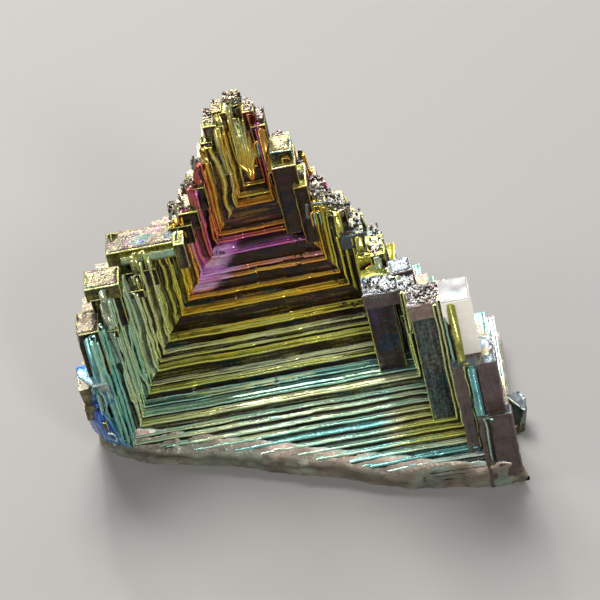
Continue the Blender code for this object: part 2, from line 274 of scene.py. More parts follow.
@dataclass(frozen=True)
class OxideFinish:
    """The oxide film on the metal: colours by thickness, darkened where it faces away, partly darker oxide
    and partly painted shade.
    """

    name: str
    stops: Stops
    darks: Stops
    metal: float = 0.72
    rough: float = 0.2
    rough_swing: float = 0.1
    film_swing: float = 0.16
    grain_mm: float = 0.22
    grain_height: float = 0.12
    streak_height: float = 0.15
    film_shift: float = 0.0
    shade_floor: float = 0.0
    line_shade: float = 0.0
    line_run: Triple = (24.0, 1.0, 1.0)

    IOR = 1.8
    BROAD = Grain(3.2, 2.0, (2.0, 1.0, 1.0))
    FINE = Grain(0.7, 3.0, (3.0, 1.0, 1.0))
    FINE_SHARE = 0.6
    PATCHES = Grain(2.4, 3.0, (1.8, 1.0, 1.0))
    SPECKLE = Grain(0.35, 4.0)
    SPECKLE_SHARE = 0.6
    CLOUDS = Grain(1.3, 4.0, (1.6, 1.0, 1.0))
    CLOUD_SPAN = (0.3, 0.7)
    LINE_PITCH = 0.2
    GRAIN_DEPTH = 0.12
    STREAK_PITCH = 0.16
    STREAK_DEPTH = 0.10

    def material(self) -> bpy.types.Material:
        """Builds the finish's material.

        Returns:
            The material.
        """
        made = bpy.data.materials.new(self.name)
        made.use_nodes = True
        tree = made.node_tree
        shader = tree.nodes["Principled BSDF"]
        shader.inputs["Metallic"].default_value = self.metal
        shader.inputs["IOR"].default_value = self.IOR
        place = self.own_axes(tree)
        colour = self.colour(tree, place)
        tree.links.new(colour, shader.inputs["Base Color"])
        tree.links.new(self.roughness(tree, place), shader.inputs["Roughness"])
        tree.links.new(self.relief(tree, place), shader.inputs["Normal"])
        return made

    def own_axes(self, tree: Tree) -> Socket:
        """The place of a point on the crystal's own axes, in metres.

        Args:
            tree: The material's nodes.

        Returns:
            A socket that gives the place.
        """
        stance = Stance()
        turned = tree.nodes.new("ShaderNodeMapping")
        turned.vector_type = "TEXTURE"
        turned.inputs["Location"].default_value = Vector(stance.nucleus) * MM
        turned.inputs["Rotation"].default_value = stance.matrix().to_euler()
        coordinates = tree.nodes.new("ShaderNodeTexCoord")
        tree.links.new(coordinates.outputs["Object"], turned.inputs["Vector"])
        return turned.outputs["Vector"]

    def noise(self, tree: Tree, place: Socket, grain: Grain) -> Socket:
        """Noise over the crystal's own axes.

        Args:
            tree: The material's nodes.
            place: The crystal's own coordinates.
            grain: How coarse and how stretched it is.

        Returns:
            A socket that gives the noise, about 0.5 on average.
        """
        scaled = tree.nodes.new("ShaderNodeMapping")
        scaled.inputs["Scale"].default_value = [1.0 / (grain.pitch * MM * part) for part in grain.stretch]
        tree.links.new(place, scaled.inputs["Vector"])
        made = tree.nodes.new("ShaderNodeTexNoise")
        made.inputs["Scale"].default_value = 1.0
        made.inputs["Detail"].default_value = grain.detail
        tree.links.new(scaled.outputs["Vector"], made.inputs["Vector"])
        return made.outputs["Fac"]

    def sum(self, tree: Tree, first: Socket, other: Socket, gain: float, lift: float) -> Socket:
        """Adds a scaled and shifted value to another.

        Args:
            tree: The material's nodes.
            first: The value that is added to.
            other: The value that is scaled.
            gain: How much of the other is added.
            lift: A number added to the other before it is scaled.

        Returns:
            A socket that gives the sum.
        """
        moved = tree.nodes.new("ShaderNodeMath")
        moved.operation = "ADD"
        moved.inputs[1].default_value = lift
        tree.links.new(other, moved.inputs[0])
        added = tree.nodes.new("ShaderNodeMath")
        added.operation = "MULTIPLY_ADD"
        added.inputs[1].default_value = gain
        tree.links.new(moved.outputs[0], added.inputs[0])
        tree.links.new(first, added.inputs[2])
        return added.outputs[0]

    def attribute(self, tree: Tree, name: str) -> Socket:
        """A value that the mesh carries at each of its points.

        Args:
            tree: The material's nodes.
            name: The value's name on the mesh.

        Returns:
            A socket that gives the value.
        """
        made = tree.nodes.new("ShaderNodeAttribute")
        made.attribute_name = name
        return made.outputs["Fac"]

    def ramp(self, tree: Tree, value: Socket, stops: Stops) -> Socket:
        """A run of colours.

        Args:
            tree: The material's nodes.
            value: What picks the colour, from 0 to 1.
            stops: The place and colour of each stop.

        Returns:
            A socket that gives the colour.
        """
        made = tree.nodes.new("ShaderNodeValToRGB")
        elements = made.color_ramp.elements
        elements[0].position, elements[0].color = stops[0]
        elements[1].position, elements[1].color = stops[-1]
        for where, shade in stops[1:-1]:
            elements.new(where).color = shade
        tree.links.new(value, made.inputs["Fac"])
        return made.outputs["Color"]

    def colour(self, tree: Tree, place: Socket) -> Socket:
        """The film's colour, with the dark colours mixed over it by the painted shade.

        Args:
            tree: The material's nodes.
            place: The crystal's own coordinates.

        Returns:
            A socket that gives the colour.
        """
        film = self.attribute(tree, "film")
        broad = self.noise(tree, place, self.BROAD)
        film = self.sum(tree, film, broad, self.film_swing, self.film_shift / self.film_swing - 0.5)
        fine = self.noise(tree, place, self.FINE)
        film = self.sum(tree, film, fine, self.FINE_SHARE * self.film_swing, -0.5)
        bright = self.ramp(tree, film, self.stops)
        dark = self.ramp(tree, self.noise(tree, place, self.PATCHES), self.darks)
        # The mesh's shade: partly darker oxide, partly painted shade, lifted on raised edges as a painted
        # highlight.
        shade = self.attribute(tree, "shade")
        speckle, gain = self.noise(tree, place, self.SPECKLE), self.SPECKLE_SHARE
        shade = self.sum(tree, shade, speckle, gain, self.shade_floor / gain - 0.5)
        lines = self.noise(tree, place, Grain(self.LINE_PITCH, 1.0, self.line_run))
        shade = self.sum(tree, shade, lines, self.line_shade, -0.5)
        over = tree.nodes.new("ShaderNodeMix")
        over.data_type = "RGBA"
        tree.links.new(shade, over.inputs["Factor"])
        tree.links.new(bright, over.inputs["A"])
        tree.links.new(dark, over.inputs["B"])
        return over.outputs["Result"]

    def roughness(self, tree: Tree, place: Socket) -> Socket:
        """How dull the surface is, with clouded patches.

        Args:
            tree: The material's nodes.
            place: The crystal's own coordinates.

        Returns:
            A socket that gives the roughness.
        """
        clouds = self.noise(tree, place, self.CLOUDS)
        spread = tree.nodes.new("ShaderNodeMapRange")
        spread.inputs["From Min"].default_value, spread.inputs["From Max"].default_value = self.CLOUD_SPAN
        spread.inputs["To Min"].default_value = self.rough - self.rough_swing
        spread.inputs["To Max"].default_value = self.rough + self.rough_swing
        tree.links.new(clouds, spread.inputs["Value"])
        return spread.outputs["Result"]

    def relief(self, tree: Tree, place: Socket) -> Socket:
        """Grains and fine growth lines, finer than the mesh.

        Args:
            tree: The material's nodes.
            place: The crystal's own coordinates.

        Returns:
            A socket that gives the bent normal.
        """
        grains = self.noise(tree, place, Grain(self.grain_mm, 4.0))
        grain = self.bump(tree, grains, self.grain_height, self.GRAIN_DEPTH)
        streaks = self.noise(tree, place, Grain(self.STREAK_PITCH, 2.0, self.line_run))
        streak = self.bump(tree, streaks, self.streak_height, self.STREAK_DEPTH)
        tree.links.new(grain.outputs["Normal"], streak.inputs["Normal"])
        return streak.outputs["Normal"]

    def bump(self, tree: Tree, height: Socket, strength: float, depth: float) -> bpy.types.Node:
        """A node that bends the normal by a height.

        Args:
            tree: The material's nodes.
            height: What gives the height, from 0 to 1.
            strength: How strongly it bends the normal.
            depth: The height of a full swing in millimetres.

        Returns:
            The node.
        """
        made = tree.nodes.new("ShaderNodeBump")
        made.inputs["Strength"].default_value = strength
        made.inputs["Distance"].default_value = depth * MM
        tree.links.new(height, made.inputs["Height"])
        return made


FILM = (
    (0.00, tone(216, 226, 172)),
    (0.08, tone(226, 202, 84)),
    (0.15, tone(222, 140, 48)),
    (0.21, tone(214, 104, 96)),
    (0.27, tone(222, 108, 168)),
    (0.32, tone(196, 112, 196)),
    (0.37, tone(240, 196, 238)),
    (0.42, tone(232, 150, 96)),
    (0.48, tone(226, 176, 48)),
    (0.56, tone(222, 206, 72)),
    (0.64, tone(206, 212, 110)),
    (0.72, tone(226, 228, 176)),
    (0.80, tone(176, 218, 190)),
    (0.87, tone(120, 200, 196)),
    (0.92, tone(214, 224, 206)),
    (0.96, tone(70, 140, 190)),
    (1.00, tone(70, 74, 190)),
)
# The dark oxide colours that the painted shade mixes over the film.
DARKS = (
    (0.30, tone(16, 42, 48)),
    (0.38, tone(34, 28, 40)),
    (0.46, tone(58, 42, 24)),
    (0.54, tone(38, 30, 20)),
    (0.60, tone(66, 34, 44)),
    (0.66, tone(10, 52, 36)),
    (0.74, tone(22, 26, 62)),
)
CASTS = (
    (0.30, tone(24, 54, 56)),
    (0.40, tone(74, 56, 36)),
    (0.48, tone(92, 86, 76)),
    (0.56, tone(70, 58, 36)),
    (0.62, tone(84, 52, 62)),
    (0.70, tone(44, 54, 80)),
)
GREYS = (
    (0.30, tone(48, 42, 34)),
    (0.45, tone(92, 80, 68)),
    (0.55, tone(66, 64, 54)),
    (0.70, tone(118, 104, 96)),
)
# Pale stone colours; the near-white at the end also paints the mirror face's reflection.
STONES = (
    (0.00, tone(186, 162, 138)),
    (0.20, tone(118, 98, 100)),
    (0.40, tone(84, 74, 60)),
    (0.60, tone(68, 84, 94)),
    (0.80, tone(112, 128, 110)),
    (1.00, tone(250, 242, 226)),
)
BREAKS = (
    (0.00, tone(108, 132, 128)),
    (0.25, tone(140, 146, 124)),
    (0.45, tone(128, 118, 100)),
    (0.60, tone(150, 136, 118)),
    (0.80, tone(206, 178, 160)),
    (1.00, tone(176, 190, 176)),
)


class Finishes:
    """The finishes of the crystal, each built once."""

    # Fine lines that run upright, as a stretch along across, out and up.
    UPRIGHT = (1.0, 1.0, 16.0)

    def __init__(self) -> None:
        """Builds every finish's material."""
        self.ledge = OxideFinish("oxide_ledges", FILM, DARKS, line_shade=1.3).material()
        self.wall = OxideFinish(
            "oxide_walls", FILM, DARKS, film_swing=0.1, line_shade=0.9, line_run=self.UPRIGHT
        ).material()
        self.block = OxideFinish(
            "oxide_blocks", FILM, DARKS, rough=0.26, grain_height=0.4, line_shade=0.5, line_run=self.UPRIGHT
        ).material()
        self.stone = OxideFinish(
            "pale_blocks",
            STONES,
            DARKS,
            metal=0.4,
            rough=0.26,
            film_swing=0.12,
            grain_height=0.5,
            line_shade=0.4,
            line_run=self.UPRIGHT,
        ).material()
        # Near white and hardly metal: paints the reflection on a block's mirror face.
        self.bright = OxideFinish(
            "painted_reflection_block", STONES, DARKS, metal=0.08, rough=0.45, film_swing=0.12, grain_height=0.2
        ).material()
        self.core = OxideFinish(
            "oxide_core",
            FILM,
            CASTS,
            metal=0.6,
            rough=0.32,
            film_shift=0.66,
            film_swing=0.3,
            shade_floor=0.95,
            grain_height=0.35,
            streak_height=0.35,
            line_shade=0.4,
            line_run=self.UPRIGHT,
        ).material()
        self.crust = OxideFinish(
            "oxide_crust",
            STONES,
            GREYS,
            rough=0.34,
            film_swing=0.8,
            film_shift=-0.1,
            shade_floor=0.3,
            grain_height=0.6,
        ).material()
        self.rim = OxideFinish(
            "broken_rim",
            BREAKS,
            GREYS,
            metal=0.45,
            rough=0.42,
            film_swing=0.3,
            grain_mm=0.3,
            grain_height=0.9,
        ).material()


def place_of(across: float, out: float, up: float) -> Vector:
    """A place on the crystal's own axes, in metres."""
    return Vector((across, -out, up)) * MM


def link_piece(
    name: str, data: bpy.types.Mesh, stance: Matrix, material: bpy.types.Material
) -> bpy.types.Object:
    """Makes a mesh a piece of the crystal.

    Args:
        name: The piece's name.
        data: Its mesh, on the crystal's own axes.
        stance: Where those axes stand in the shared frame.
        material: Its finish.

    Returns:
        The piece.
    """
    data.transform(stance)
    places = np.array([point.co for point in data.vertices], np.float32)
    low, high = (np.array(corner, np.float32) for corner in CAD_BOX)
    places = np.clip(places, low + CLEAR, high - CLEAR)
    data.vertices.foreach_set("co", places.ravel())
    piece = bpy.data.objects.new(name, data)
    bpy.context.scene.collection.objects.link(piece)
    data.materials.append(material)
    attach(piece, "root")
    return piece


@dataclass
class Skin:
    """Points, faces and carried values of one surface, gathered before it becomes a mesh."""

    points: list[np.ndarray] = field(default_factory=list)
    faces: list[np.ndarray] = field(default_factory=list)
    film: list[np.ndarray] = field(default_factory=list)
    shade: list[np.ndarray] = field(default_factory=list)
    count: int = 0

    def add(self, points: np.ndarray, faces: np.ndarray, film: np.ndarray, shade: np.ndarray) -> None:
        """Adds a patch.

        Args:
            points: Across, out and up of each point, in millimetres.
            faces: Four point numbers for each face, counted from this patch's first point.
            film: The film's thickness at each point, from 0 to 1.
            shade: How dark each point is, from 0 to 1, partly painted shade and painted highlight.
        """
        self.points.append(points.reshape(-1, 3))
        self.faces.append(faces.reshape(-1, 4) + self.count)
        self.film.append(np.broadcast_to(film, points.shape[:-1]).reshape(-1))
        self.shade.append(np.broadcast_to(shade, points.shape[:-1]).reshape(-1))
        self.count += self.points[-1].shape[0]

    def mesh(self, name: str) -> bpy.types.Mesh:
        """Turns the patches into one smooth mesh that carries its film and shade.

        Args:
            name: The mesh's name.

        Returns:
            The mesh on the crystal's own axes.
        """
        faces = np.concatenate(self.faces)
        used, faces = np.unique(faces, return_inverse=True)
        faces = faces.reshape(-1, 4)
        local = np.concatenate(self.points)[used] * MM
        local[:, 1] *= -1.0
        data = bpy.data.meshes.new(name)
        data.vertices.add(len(local))
        data.vertices.foreach_set("co", local.astype(np.float32).ravel())
        data.loops.add(faces.size)
        data.loops.foreach_set("vertex_index", faces.astype(np.int32).ravel())
        data.polygons.add(len(faces))
        data.polygons.foreach_set("loop_start", np.arange(0, faces.size, 4, dtype=np.int32))
        data.update(calc_edges=True)
        data.polygons.foreach_set("use_smooth", np.ones(len(faces), bool))
        for label, parts in (("film", self.film), ("shade", self.shade)):
            values = data.attributes.new(label, "FLOAT", "POINT")
            values.data.foreach_set("value", np.concatenate(parts)[used].astype(np.float32))
        data.validate()
        return data


def grid_faces(rows: int, columns: int) -> np.ndarray:
    """The faces of a grid of points, row by row."""
    numbers = np.arange(rows * columns).reshape(rows, columns)
    return np.stack([numbers[:-1, :-1], numbers[:-1, 1:], numbers[1:, 1:], numbers[1:, :-1]], axis=-1)


@dataclass
class Rows:
    """The rows of a stepped surface, from its deepest corner outwards, as one array for each measure."""

    out: np.ndarray
    rise: np.ndarray
    left: np.ndarray
    right: np.ndarray
    floor: np.ndarray
    level: np.ndarray
    riser: np.ndarray
    # How much each row is a raised edge; the tints lift the painted shade there as a painted highlight.
    lip: np.ndarray
    below: np.ndarray


class Bead(Enum):
    """How bold the raised edge of a ledge is."""

    FINE = 0.13
    BOLD = 0.24


# A wall's wide risers are split into ribs about this far apart. Each rib: how far through its pitch a row
# stands, how proud it is and how much of a raised edge, which the tints paint as a highlight on the crest
# while the gaps between ribs keep the riser's painted shade.
RIB_PITCH = 0.82
RIB_SHAPE = (
    (0.12, -0.26, 0.0),
    (0.35, -0.22, 0.0),
    (0.48, 0.10, 0.8),
    (0.66, 0.20, 1.0),
    (0.84, 0.10, 0.8),
    (0.96, -0.20, 0.0),
)
# How far a riser's ribs stand behind its ledge, and where its first row (in lips) and its last (a share) run.
RIB_SET_BACK = 0.05
RISER_START = 1.1
RISER_END = 0.97


def riser_outline(tread: float, drop: float, lip: float, bead: Bead) -> list[tuple[float, ...]]:
    """The rows of a riser: flat on a floor, and in upright ribs on a wall where the riser is wide.

    Args:
        tread: How far out the riser stands from its ledge's back corner.
        drop: The riser's height.
        lip: The size of the raised edge above it.
        bead: How bold the raised edges are.

    Returns:
        Out, rise, share of the drop, 1 for a riser, and how much each row is a raised edge, where the tints
        paint a highlight.
    """
    start = RISER_START * lip / drop
    ribs = max(0, round(drop / RIB_PITCH) - 1)
    if not ribs:
        middle = (tread - 0.5 * lip, 0.0, mix(start, 1.0, 0.5), 1.0, 0.0)
        return [middle, (tread - 0.2 * lip, 0.0, 0.94, 1.0, 0.0)]
    rows = []
    for rib in range(ribs):
        for part, proud, edge in RIB_SHAPE:
            share = mix(start, RISER_END, (rib + part) / ribs)
            bold = proud if bead is Bead.BOLD else 0.0
            rows.append((tread - RIB_SET_BACK + bold, 0.0, share, 1.0, edge if bead is Bead.BOLD else 0.0))
    return rows


def ledge_rows(frames: list[Frame], bead: Bead) -> Rows:
    """Cuts a funnel's frames into rows: each ledge's tread, its raised edge and the riser below it.

    Args:
        frames: The funnel's frames.
        bead: How bold the raised edges are.

    Returns:
        The rows.
    """
    made = []
    for level, (here, after) in enumerate(zip(frames, frames[1:])):
        tread, drop = after.out - here.out, here.floor - after.floor
        lip = min(bead.value, 0.28 * tread, 0.36 * drop)
        line = 0.05 if level % 3 else -0.04
        # Each row: out, rise, share of the drop, 1 on a riser, and how much of a raised edge; the tints paint
        # shade on risers and a highlight on raised edges.
        outline = [
            (0.02, -0.02, 0.0, 0.0, 0.0),
            (0.26 * tread, 0.0, 0.0, 0.0, 0.0),
            (0.34 * tread, line, 0.0, 0.0, 0.5),
            (0.42 * tread, line, 0.0, 0.0, 0.5),
            (0.50 * tread, 0.0, 0.0, 0.0, 0.0),
            (tread - 1.9 * lip, 0.0, 0.0, 0.0, 0.0),
            (tread - 1.4 * lip, 0.5 * lip, 0.0, 0.0, 0.6),
            (tread - 0.7 * lip, 0.72 * lip, 0.0, 0.0, 1.0),
            (tread - 0.1 * lip, 0.5 * lip, 0.0, 0.0, 1.0),
            (tread + 0.22 * lip, 0.0, 0.0, 0.0, 1.0),
            (tread + 0.2 * lip, -0.5 * lip, 0.0, 1.0, 0.6),
            (tread - 0.2 * lip, 0.0, RISER_START * lip / drop, 1.0, 0.0),
        ]
        outline += riser_outline(tread, drop, lip, bead)
        for out, rise, share, riser, edge in outline:
            made.append(
                (
                    here.out + out,
                    rise,
                    mix(here.left, after.left, share),
                    mix(here.right, after.right, share),
                    mix(here.floor, after.floor, share),
                    level,
                    riser,
                    edge,
                    drop * (1.0 - share),
                )
            )
    return Rows(*np.array(made).T)


# How thick the film is at each depth below the nucleus, on the floor and on each wall.
FLOOR_DEPTHS = (-8.0, -2.0, 0.0, 2.0, 4.8, 7.0, 9.0, 11.0, 13.0, 16.0, 18.0, 20.0, 23.0, 26.0, 31.0)
FLOOR_FILMS = (0.01, 0.07, 0.10, 0.12, 0.14, 0.45, 0.47, 0.49, 0.53, 0.62, 0.70, 0.75, 0.78, 0.83, 0.87)
LEFT_DEPTHS = (-8.0, 0.0, 3.0, 5.0, 7.5, 8.5, 10.0, 12.0, 15.0, 18.0, 21.0, 24.0, 30.0)
LEFT_FILMS = (0.00, 0.05, 0.10, 0.18, 0.26, 0.46, 0.54, 0.64, 0.72, 0.77, 0.85, 0.93, 1.00)
RIGHT_DEPTHS = (-8.0, 0.0, 3.4, 3.6, 8.0, 12.0, 18.0, 24.0, 31.0)
RIGHT_FILMS = (0.02, 0.08, 0.12, 0.46, 0.50, 0.54, 0.58, 0.66, 0.74)


@dataclass
class FunnelSkin:
    """The stepped lining of a funnel: left wall, floor and right wall, each a sheet of fine rows."""

    name: str
    frames: list[Frame]
    turn: float
    inside: BVHTree
    stance: Matrix
    floor_columns: int = 130
    wall_columns: int = 52
    bead: Bead = Bead.BOLD
    wobble: float = 0.10
    kink: float = 0.2
    seed: int = 5
    tallest: float = 26.0
    behind: float = 0.55
    short: float = 0.0

    # Upright places above nothing, and how far under a point the crystal has to carry it.
    NOWHERE = -99.0
    CARRY = 1.5
    HEAD_START = 0.25
    # Swings of the sheets: a slow one, a quick one and the walls' kinks.
    SLOW_PITCH = 4.5
    QUICK_PITCH = 0.9
    QUICK_SHARE = 0.35
    KINK_PITCH = 2.2
    CHIP = 0.11
    # The pale violet patch in the left valley: its film, its width, its fade and its depths.
    VALLEY_FILM = 0.375
    VALLEY_WIDTH = 5.5
    VALLEY_FADE = 4.0
    VALLEY_DEPTHS = (4.6, 6.0, 10.4)
    CLEAN_WIDTH = 3.6
    CLEAN_FADE = 2.0
    # The warm stretch of the right floor: its film, where it starts and its depths.
    WARM_FILM = 0.5
    WARM_SHARE = 0.55
    WARM_ACROSS = (8.0, 12.0)
    WARM_DEPTHS = (20.4, 21.4, 24.2)
    SWING_DEPTHS = (12.0, 15.0)
    # How a wall's top folds over: how far aside and how high each row of the fold runs.
    FOLDS = ((0.12, 0.04), (0.5, 0.03), (0.75, -0.3))
    MOUTH = (11.0, 14.0)

    def __post_init__(self) -> None:
        """Lays out the rows and draws the noise."""
        self.rows = ledge_rows(self.frames, Bead.FINE)
        self.bold = ledge_rows(self.frames, self.bead)
        self.ripple = Ripple(self.seed)
        self.draw = np.random.default_rng(self.seed)

    def turned(self, points: np.ndarray) -> np.ndarray:
        """Turns points from the funnel's own front to the crystal's axes.

        Args:
            points: Across, out and up of each point.

        Returns:
            The turned points.
        """
        angle = math.radians(self.turn)
        across, out, up = points[..., 0], points[..., 1], points[..., 2]
        cos, sin = math.cos(angle), math.sin(angle)
        return np.stack([across * cos + out * sin, out * cos - across * sin, up], axis=-1)

    def top_at(self, across: float, out: float) -> float:
        """How high the arm stands at a place.

        Args:
            across: The place's across.
            out: The place's out.

        Returns:
            The arm's height there, or one far below where there is no arm.
        """
        spot = self.turned(np.array([across, out, self.tallest]))
        hit = self.inside.ray_cast(place_of(*spot), DOWN)[0]
        return hit.z / MM if hit else self.NOWHERE

    def wander(self, base: np.ndarray, kinked: np.ndarray) -> np.ndarray:
        """How far each point strays from its ruled place.

        Args:
            base: Across, out and up of each point.
            kinked: How much of the walls' kinks each point takes, from 0 to 1.

        Returns:
            The stray, along the same three axes.
        """
        slow = np.stack([self.ripple.at(base + 7.0 * axis, self.SLOW_PITCH) for axis in range(3)], axis=-1)
        quick = np.stack([self.ripple.at(base + 11.0 * axis, self.QUICK_PITCH) for axis in range(3)], axis=-1)
        stray = self.wobble * slow + self.QUICK_SHARE * self.wobble * quick
        squeezed = base * np.array([0.5, 0.5, 1.0])
        steps = 2.0 * self.ripple.at(squeezed + 3.0, self.KINK_PITCH)
        snapped = np.round(steps) + 0.5 * np.tanh(6.0 * (steps - np.round(steps)))
        stray[..., 0] += self.kink * kinked * snapped
        return stray

    def chips(self, rows: int, columns: int, levels: np.ndarray) -> np.ndarray:
        """Short stretches where a ledge stands a little forward or back.

        Args:
            rows: How many rows there are.
            columns: How many columns there are.
            levels: The level of each row.

        Returns:
            The shift of each point.
        """
        count = int(levels.max()) + 1
        shift = np.zeros((count, columns))
        for level in range(count):
            edges = np.sort(self.draw.integers(0, columns, self.draw.integers(2, 6)))
            for begin, end in zip(edges, edges[1:]):
                shift[level, begin:end] = self.draw.uniform(-self.CHIP, self.CHIP)
        return shift[levels.astype(int)].reshape(rows, columns)

    def floor(self) -> Skin:
        """The floor sheet, from one valley to the other.

        Returns:
            The sheet.
        """
        rows = self.rows
        share = np.linspace(0.0, 1.0, self.floor_columns)[None, :]
        left, right = (rows.left + rows.rise)[:, None], (rows.right - rows.rise)[:, None]
        across = left + (right - left) * share
        shape = across.shape
        out, up = (np.broadcast_to(measure[:, None], shape) for measure in (rows.out, rows.floor + rows.rise))
        base = np.stack([across, out, up], axis=-1)
        points = base + self.wander(base, np.zeros(shape))
        inner = ease(np.minimum(across - left, right - across), 0.1, 0.8)
        shift = self.chips(*shape, rows.level) * inner
        points[..., 1] += shift * 0.9
        points[..., 2] += shift * 0.5 * (1.0 - rows.riser[:, None])
        film, shade = self.floor_tint(base)
        skin = Skin()
        skin.add(self.turned(points), self.held(points), film, shade)
        return skin

    def held(self, points: np.ndarray) -> np.ndarray:
        """The faces of a grid whose points all lie on the crystal.

        Args:
            points: The grid's points.

        Returns:
            Four point numbers for each face.
        """
        faces = grid_faces(*points.shape[:2]).reshape(-1, 4)
        on = self.carried(points).reshape(-1)
        return faces[on[faces].all(axis=1)]

    def carried(self, points: np.ndarray) -> np.ndarray:
        """Whether the crystal carries each point from just below.

        Args:
            points: The grid's points.

        Returns:
            True or false for each point.
        """
        turned = self.turned(points).reshape(-1, 3)
        found = np.zeros(len(turned), bool)
        reach = np.repeat(self.CARRY + self.rows.below, points.shape[1]) * MM
        for index, (across, out, up) in enumerate(turned):
            hit = self.inside.ray_cast(place_of(across, out, up + self.HEAD_START), DOWN, reach[index])[0]
            found[index] = hit is not None
        return found.reshape(points.shape[:2])

    def level_draw(self, low: float, high: float) -> np.ndarray:
        """A random value for each level, spread over the rows."""
        values = self.draw.uniform(low, high, int(self.rows.level.max()) + 1)
        return values[self.rows.level.astype(int)]

    def floor_tint(self, base: np.ndarray) -> tuple[np.ndarray, np.ndarray]:
        """The film and shade of the floor.

        Args:
            base: Across, out and up of each point.

        Returns:
            The film and the shade of each point.
        """
        rows = self.rows
        depth = -base[..., 2]
        film = np.interp(depth, FLOOR_DEPTHS, FLOOR_FILMS)
        aside = base[..., 0] - rows.left[:, None]
        valley = ease(self.VALLEY_WIDTH - aside, 0.0, self.VALLEY_FADE) * band(depth, *self.VALLEY_DEPTHS)
        film = film + valley * (self.VALLEY_FILM - film)
        swing = ease(depth, *self.SWING_DEPTHS)
        film = film + self.level_draw(-0.03, 0.03)[:, None] + swing * self.level_draw(-0.04, 0.11)[:, None]
        warm = ease(base[..., 0], *self.WARM_ACROSS) * band(depth, *self.WARM_DEPTHS)
        film = film + self.WARM_SHARE * warm * (self.WARM_FILM - film)
        # Painted shade: risers are darkened, partly as their darker oxide, treads much less.
        dark_and_painted_shade = np.where(rows.riser > 0, self.level_draw(0.9, 1.3), self.level_draw(-0.1, 0.35))[:, None]
        # Painted highlight: raised edges lose most of the shade.
        dark_and_painted_shade = np.broadcast_to(dark_and_painted_shade, film.shape) * (1.0 - 0.9 * rows.lip[:, None])
        pale = ease(self.ripple.at(base * np.array([0.3, 1.0, 1.0]), 1.1), 0.25, 0.5)
        dark_and_painted_shade = dark_and_painted_shade + 0.5 * pale * (1.0 - rows.riser[:, None]) * (1.0 - rows.lip[:, None])
        dark_and_painted_shade = dark_and_painted_shade - 1.1 * valley * ease(self.CLEAN_WIDTH - aside, 0.0, self.CLEAN_FADE)
        return film, np.clip(dark_and_painted_shade, -0.2, 1.2)

    def wall(self, side: int) -> Skin:
        """One wall sheet, from its valley up to the top of the arm.

        Args:
            side: -1 for the left wall and 1 for the right.

        Returns:
            The sheet.
        """
        rows, bold = self.rows, self.bold
        edge = rows.left if side < 0 else rows.right
        foot = rows.floor + rows.rise
        behind = self.behind
        spots = zip(edge + behind * side, rows.out - behind)
        tops = np.array([self.top_at(across, out) for across, out in spots])
        tops = tops - self.short * (1.0 + 5.0 * ease(rows.out, *self.MOUTH))
        stands = tops > foot + 0.15
        tops = np.where(stands, tops, foot)
        share = np.linspace(0.0, 1.0, self.wall_columns)[None, :]
        up = foot[:, None] + (tops - foot)[:, None] * share
        climb = ease(up - foot[:, None], 0.0, 0.8)
        out = rows.out[:, None] + (bold.out - rows.out)[:, None] * climb
        rise = rows.rise[:, None] + (bold.rise - rows.rise)[:, None] * climb
        base = np.stack([edge[:, None] - side * rise, out, up], axis=-1)
        points = base + self.wander(base, climb if side < 0 else 0.3 * climb)
        fold = points[:, -1:, :].copy()
        folds = [fold + np.array([side * reach, 0.0, lift]) for reach, lift in self.FOLDS]
        points = np.concatenate([points, *folds], axis=1)
        film, shade = self.wall_tint(base, side)
        film = np.concatenate([film] + [film[:, -1:]] * len(folds), axis=1)
        shade = np.concatenate([shade] + [np.full_like(shade[:, -1:], 0.5)] * len(folds), axis=1)
        faces = grid_faces(*points.shape[:2])
        faces = faces[stands[:-1] & stands[1:]].reshape(-1, 4)
        if side < 0:
            faces = faces[:, ::-1]
        skin = Skin()
        skin.add(self.turned(points), faces, film, shade)
        return skin

    def wall_tint(self, base: np.ndarray, side: int) -> tuple[np.ndarray, np.ndarray]:
        """The film and shade of a wall.

        Args:
            base: Across, out and up of each point.
            side: -1 for the left wall and 1 for the right.

        Returns:
            The film and the shade of each point.
        """
        rows = self.rows
        depth = -rows.floor[:, None]
        # Risers and the gaps between ribs take painted shade, partly their darker oxide; the rest a lighter
        # one.
        if side < 0:
            film = np.interp(depth, LEFT_DEPTHS, LEFT_FILMS) + 0.0 * base[..., 2]
            film = film + self.level_draw(-0.04, 0.04)[:, None]
            dark_and_painted_shade = np.where(rows.riser > 0, self.level_draw(0.7, 1.2), 0.35)[:, None]
        else:
            film = np.interp(depth, RIGHT_DEPTHS, RIGHT_FILMS) + 0.0 * base[..., 2]
            film = film + self.level_draw(-0.05, 0.2)[:, None]
            dark_and_painted_shade = np.where(rows.riser > 0, self.level_draw(0.7, 1.3), 0.45)[:, None]
        # Painted highlight: raised edges and rib crests lose most of the shade.
        dark_and_painted_shade = np.broadcast_to(dark_and_painted_shade, film.shape) * (1.0 - 0.9 * self.bold.lip[:, None])
        return film, np.clip(dark_and_painted_shade, -0.2, 1.2)

    def build(self, finishes: Finishes) -> None:
        """Makes the three sheets and reports them.

        Args:
            finishes: The crystal's finishes.
        """
        sheets = (
            ("floor", self.floor(), finishes.ledge),
            ("left_wall", self.wall(-1), finishes.wall),
            ("right_wall", self.wall(1), finishes.wall),
        )
        for part, skin, material in sheets:
            name = f"{self.name}_{part}"
            piece = link_piece(name, skin.mesh(name), self.stance, material)
            RimLine().trim(piece.data)
            log.info("built %s with %d points", name, skin.count)


# How high a horn opens over the nucleus, and how much higher each of its stations is than the last.
HORN_CEILING = 30.0
HORN_STAGGER = 0.02


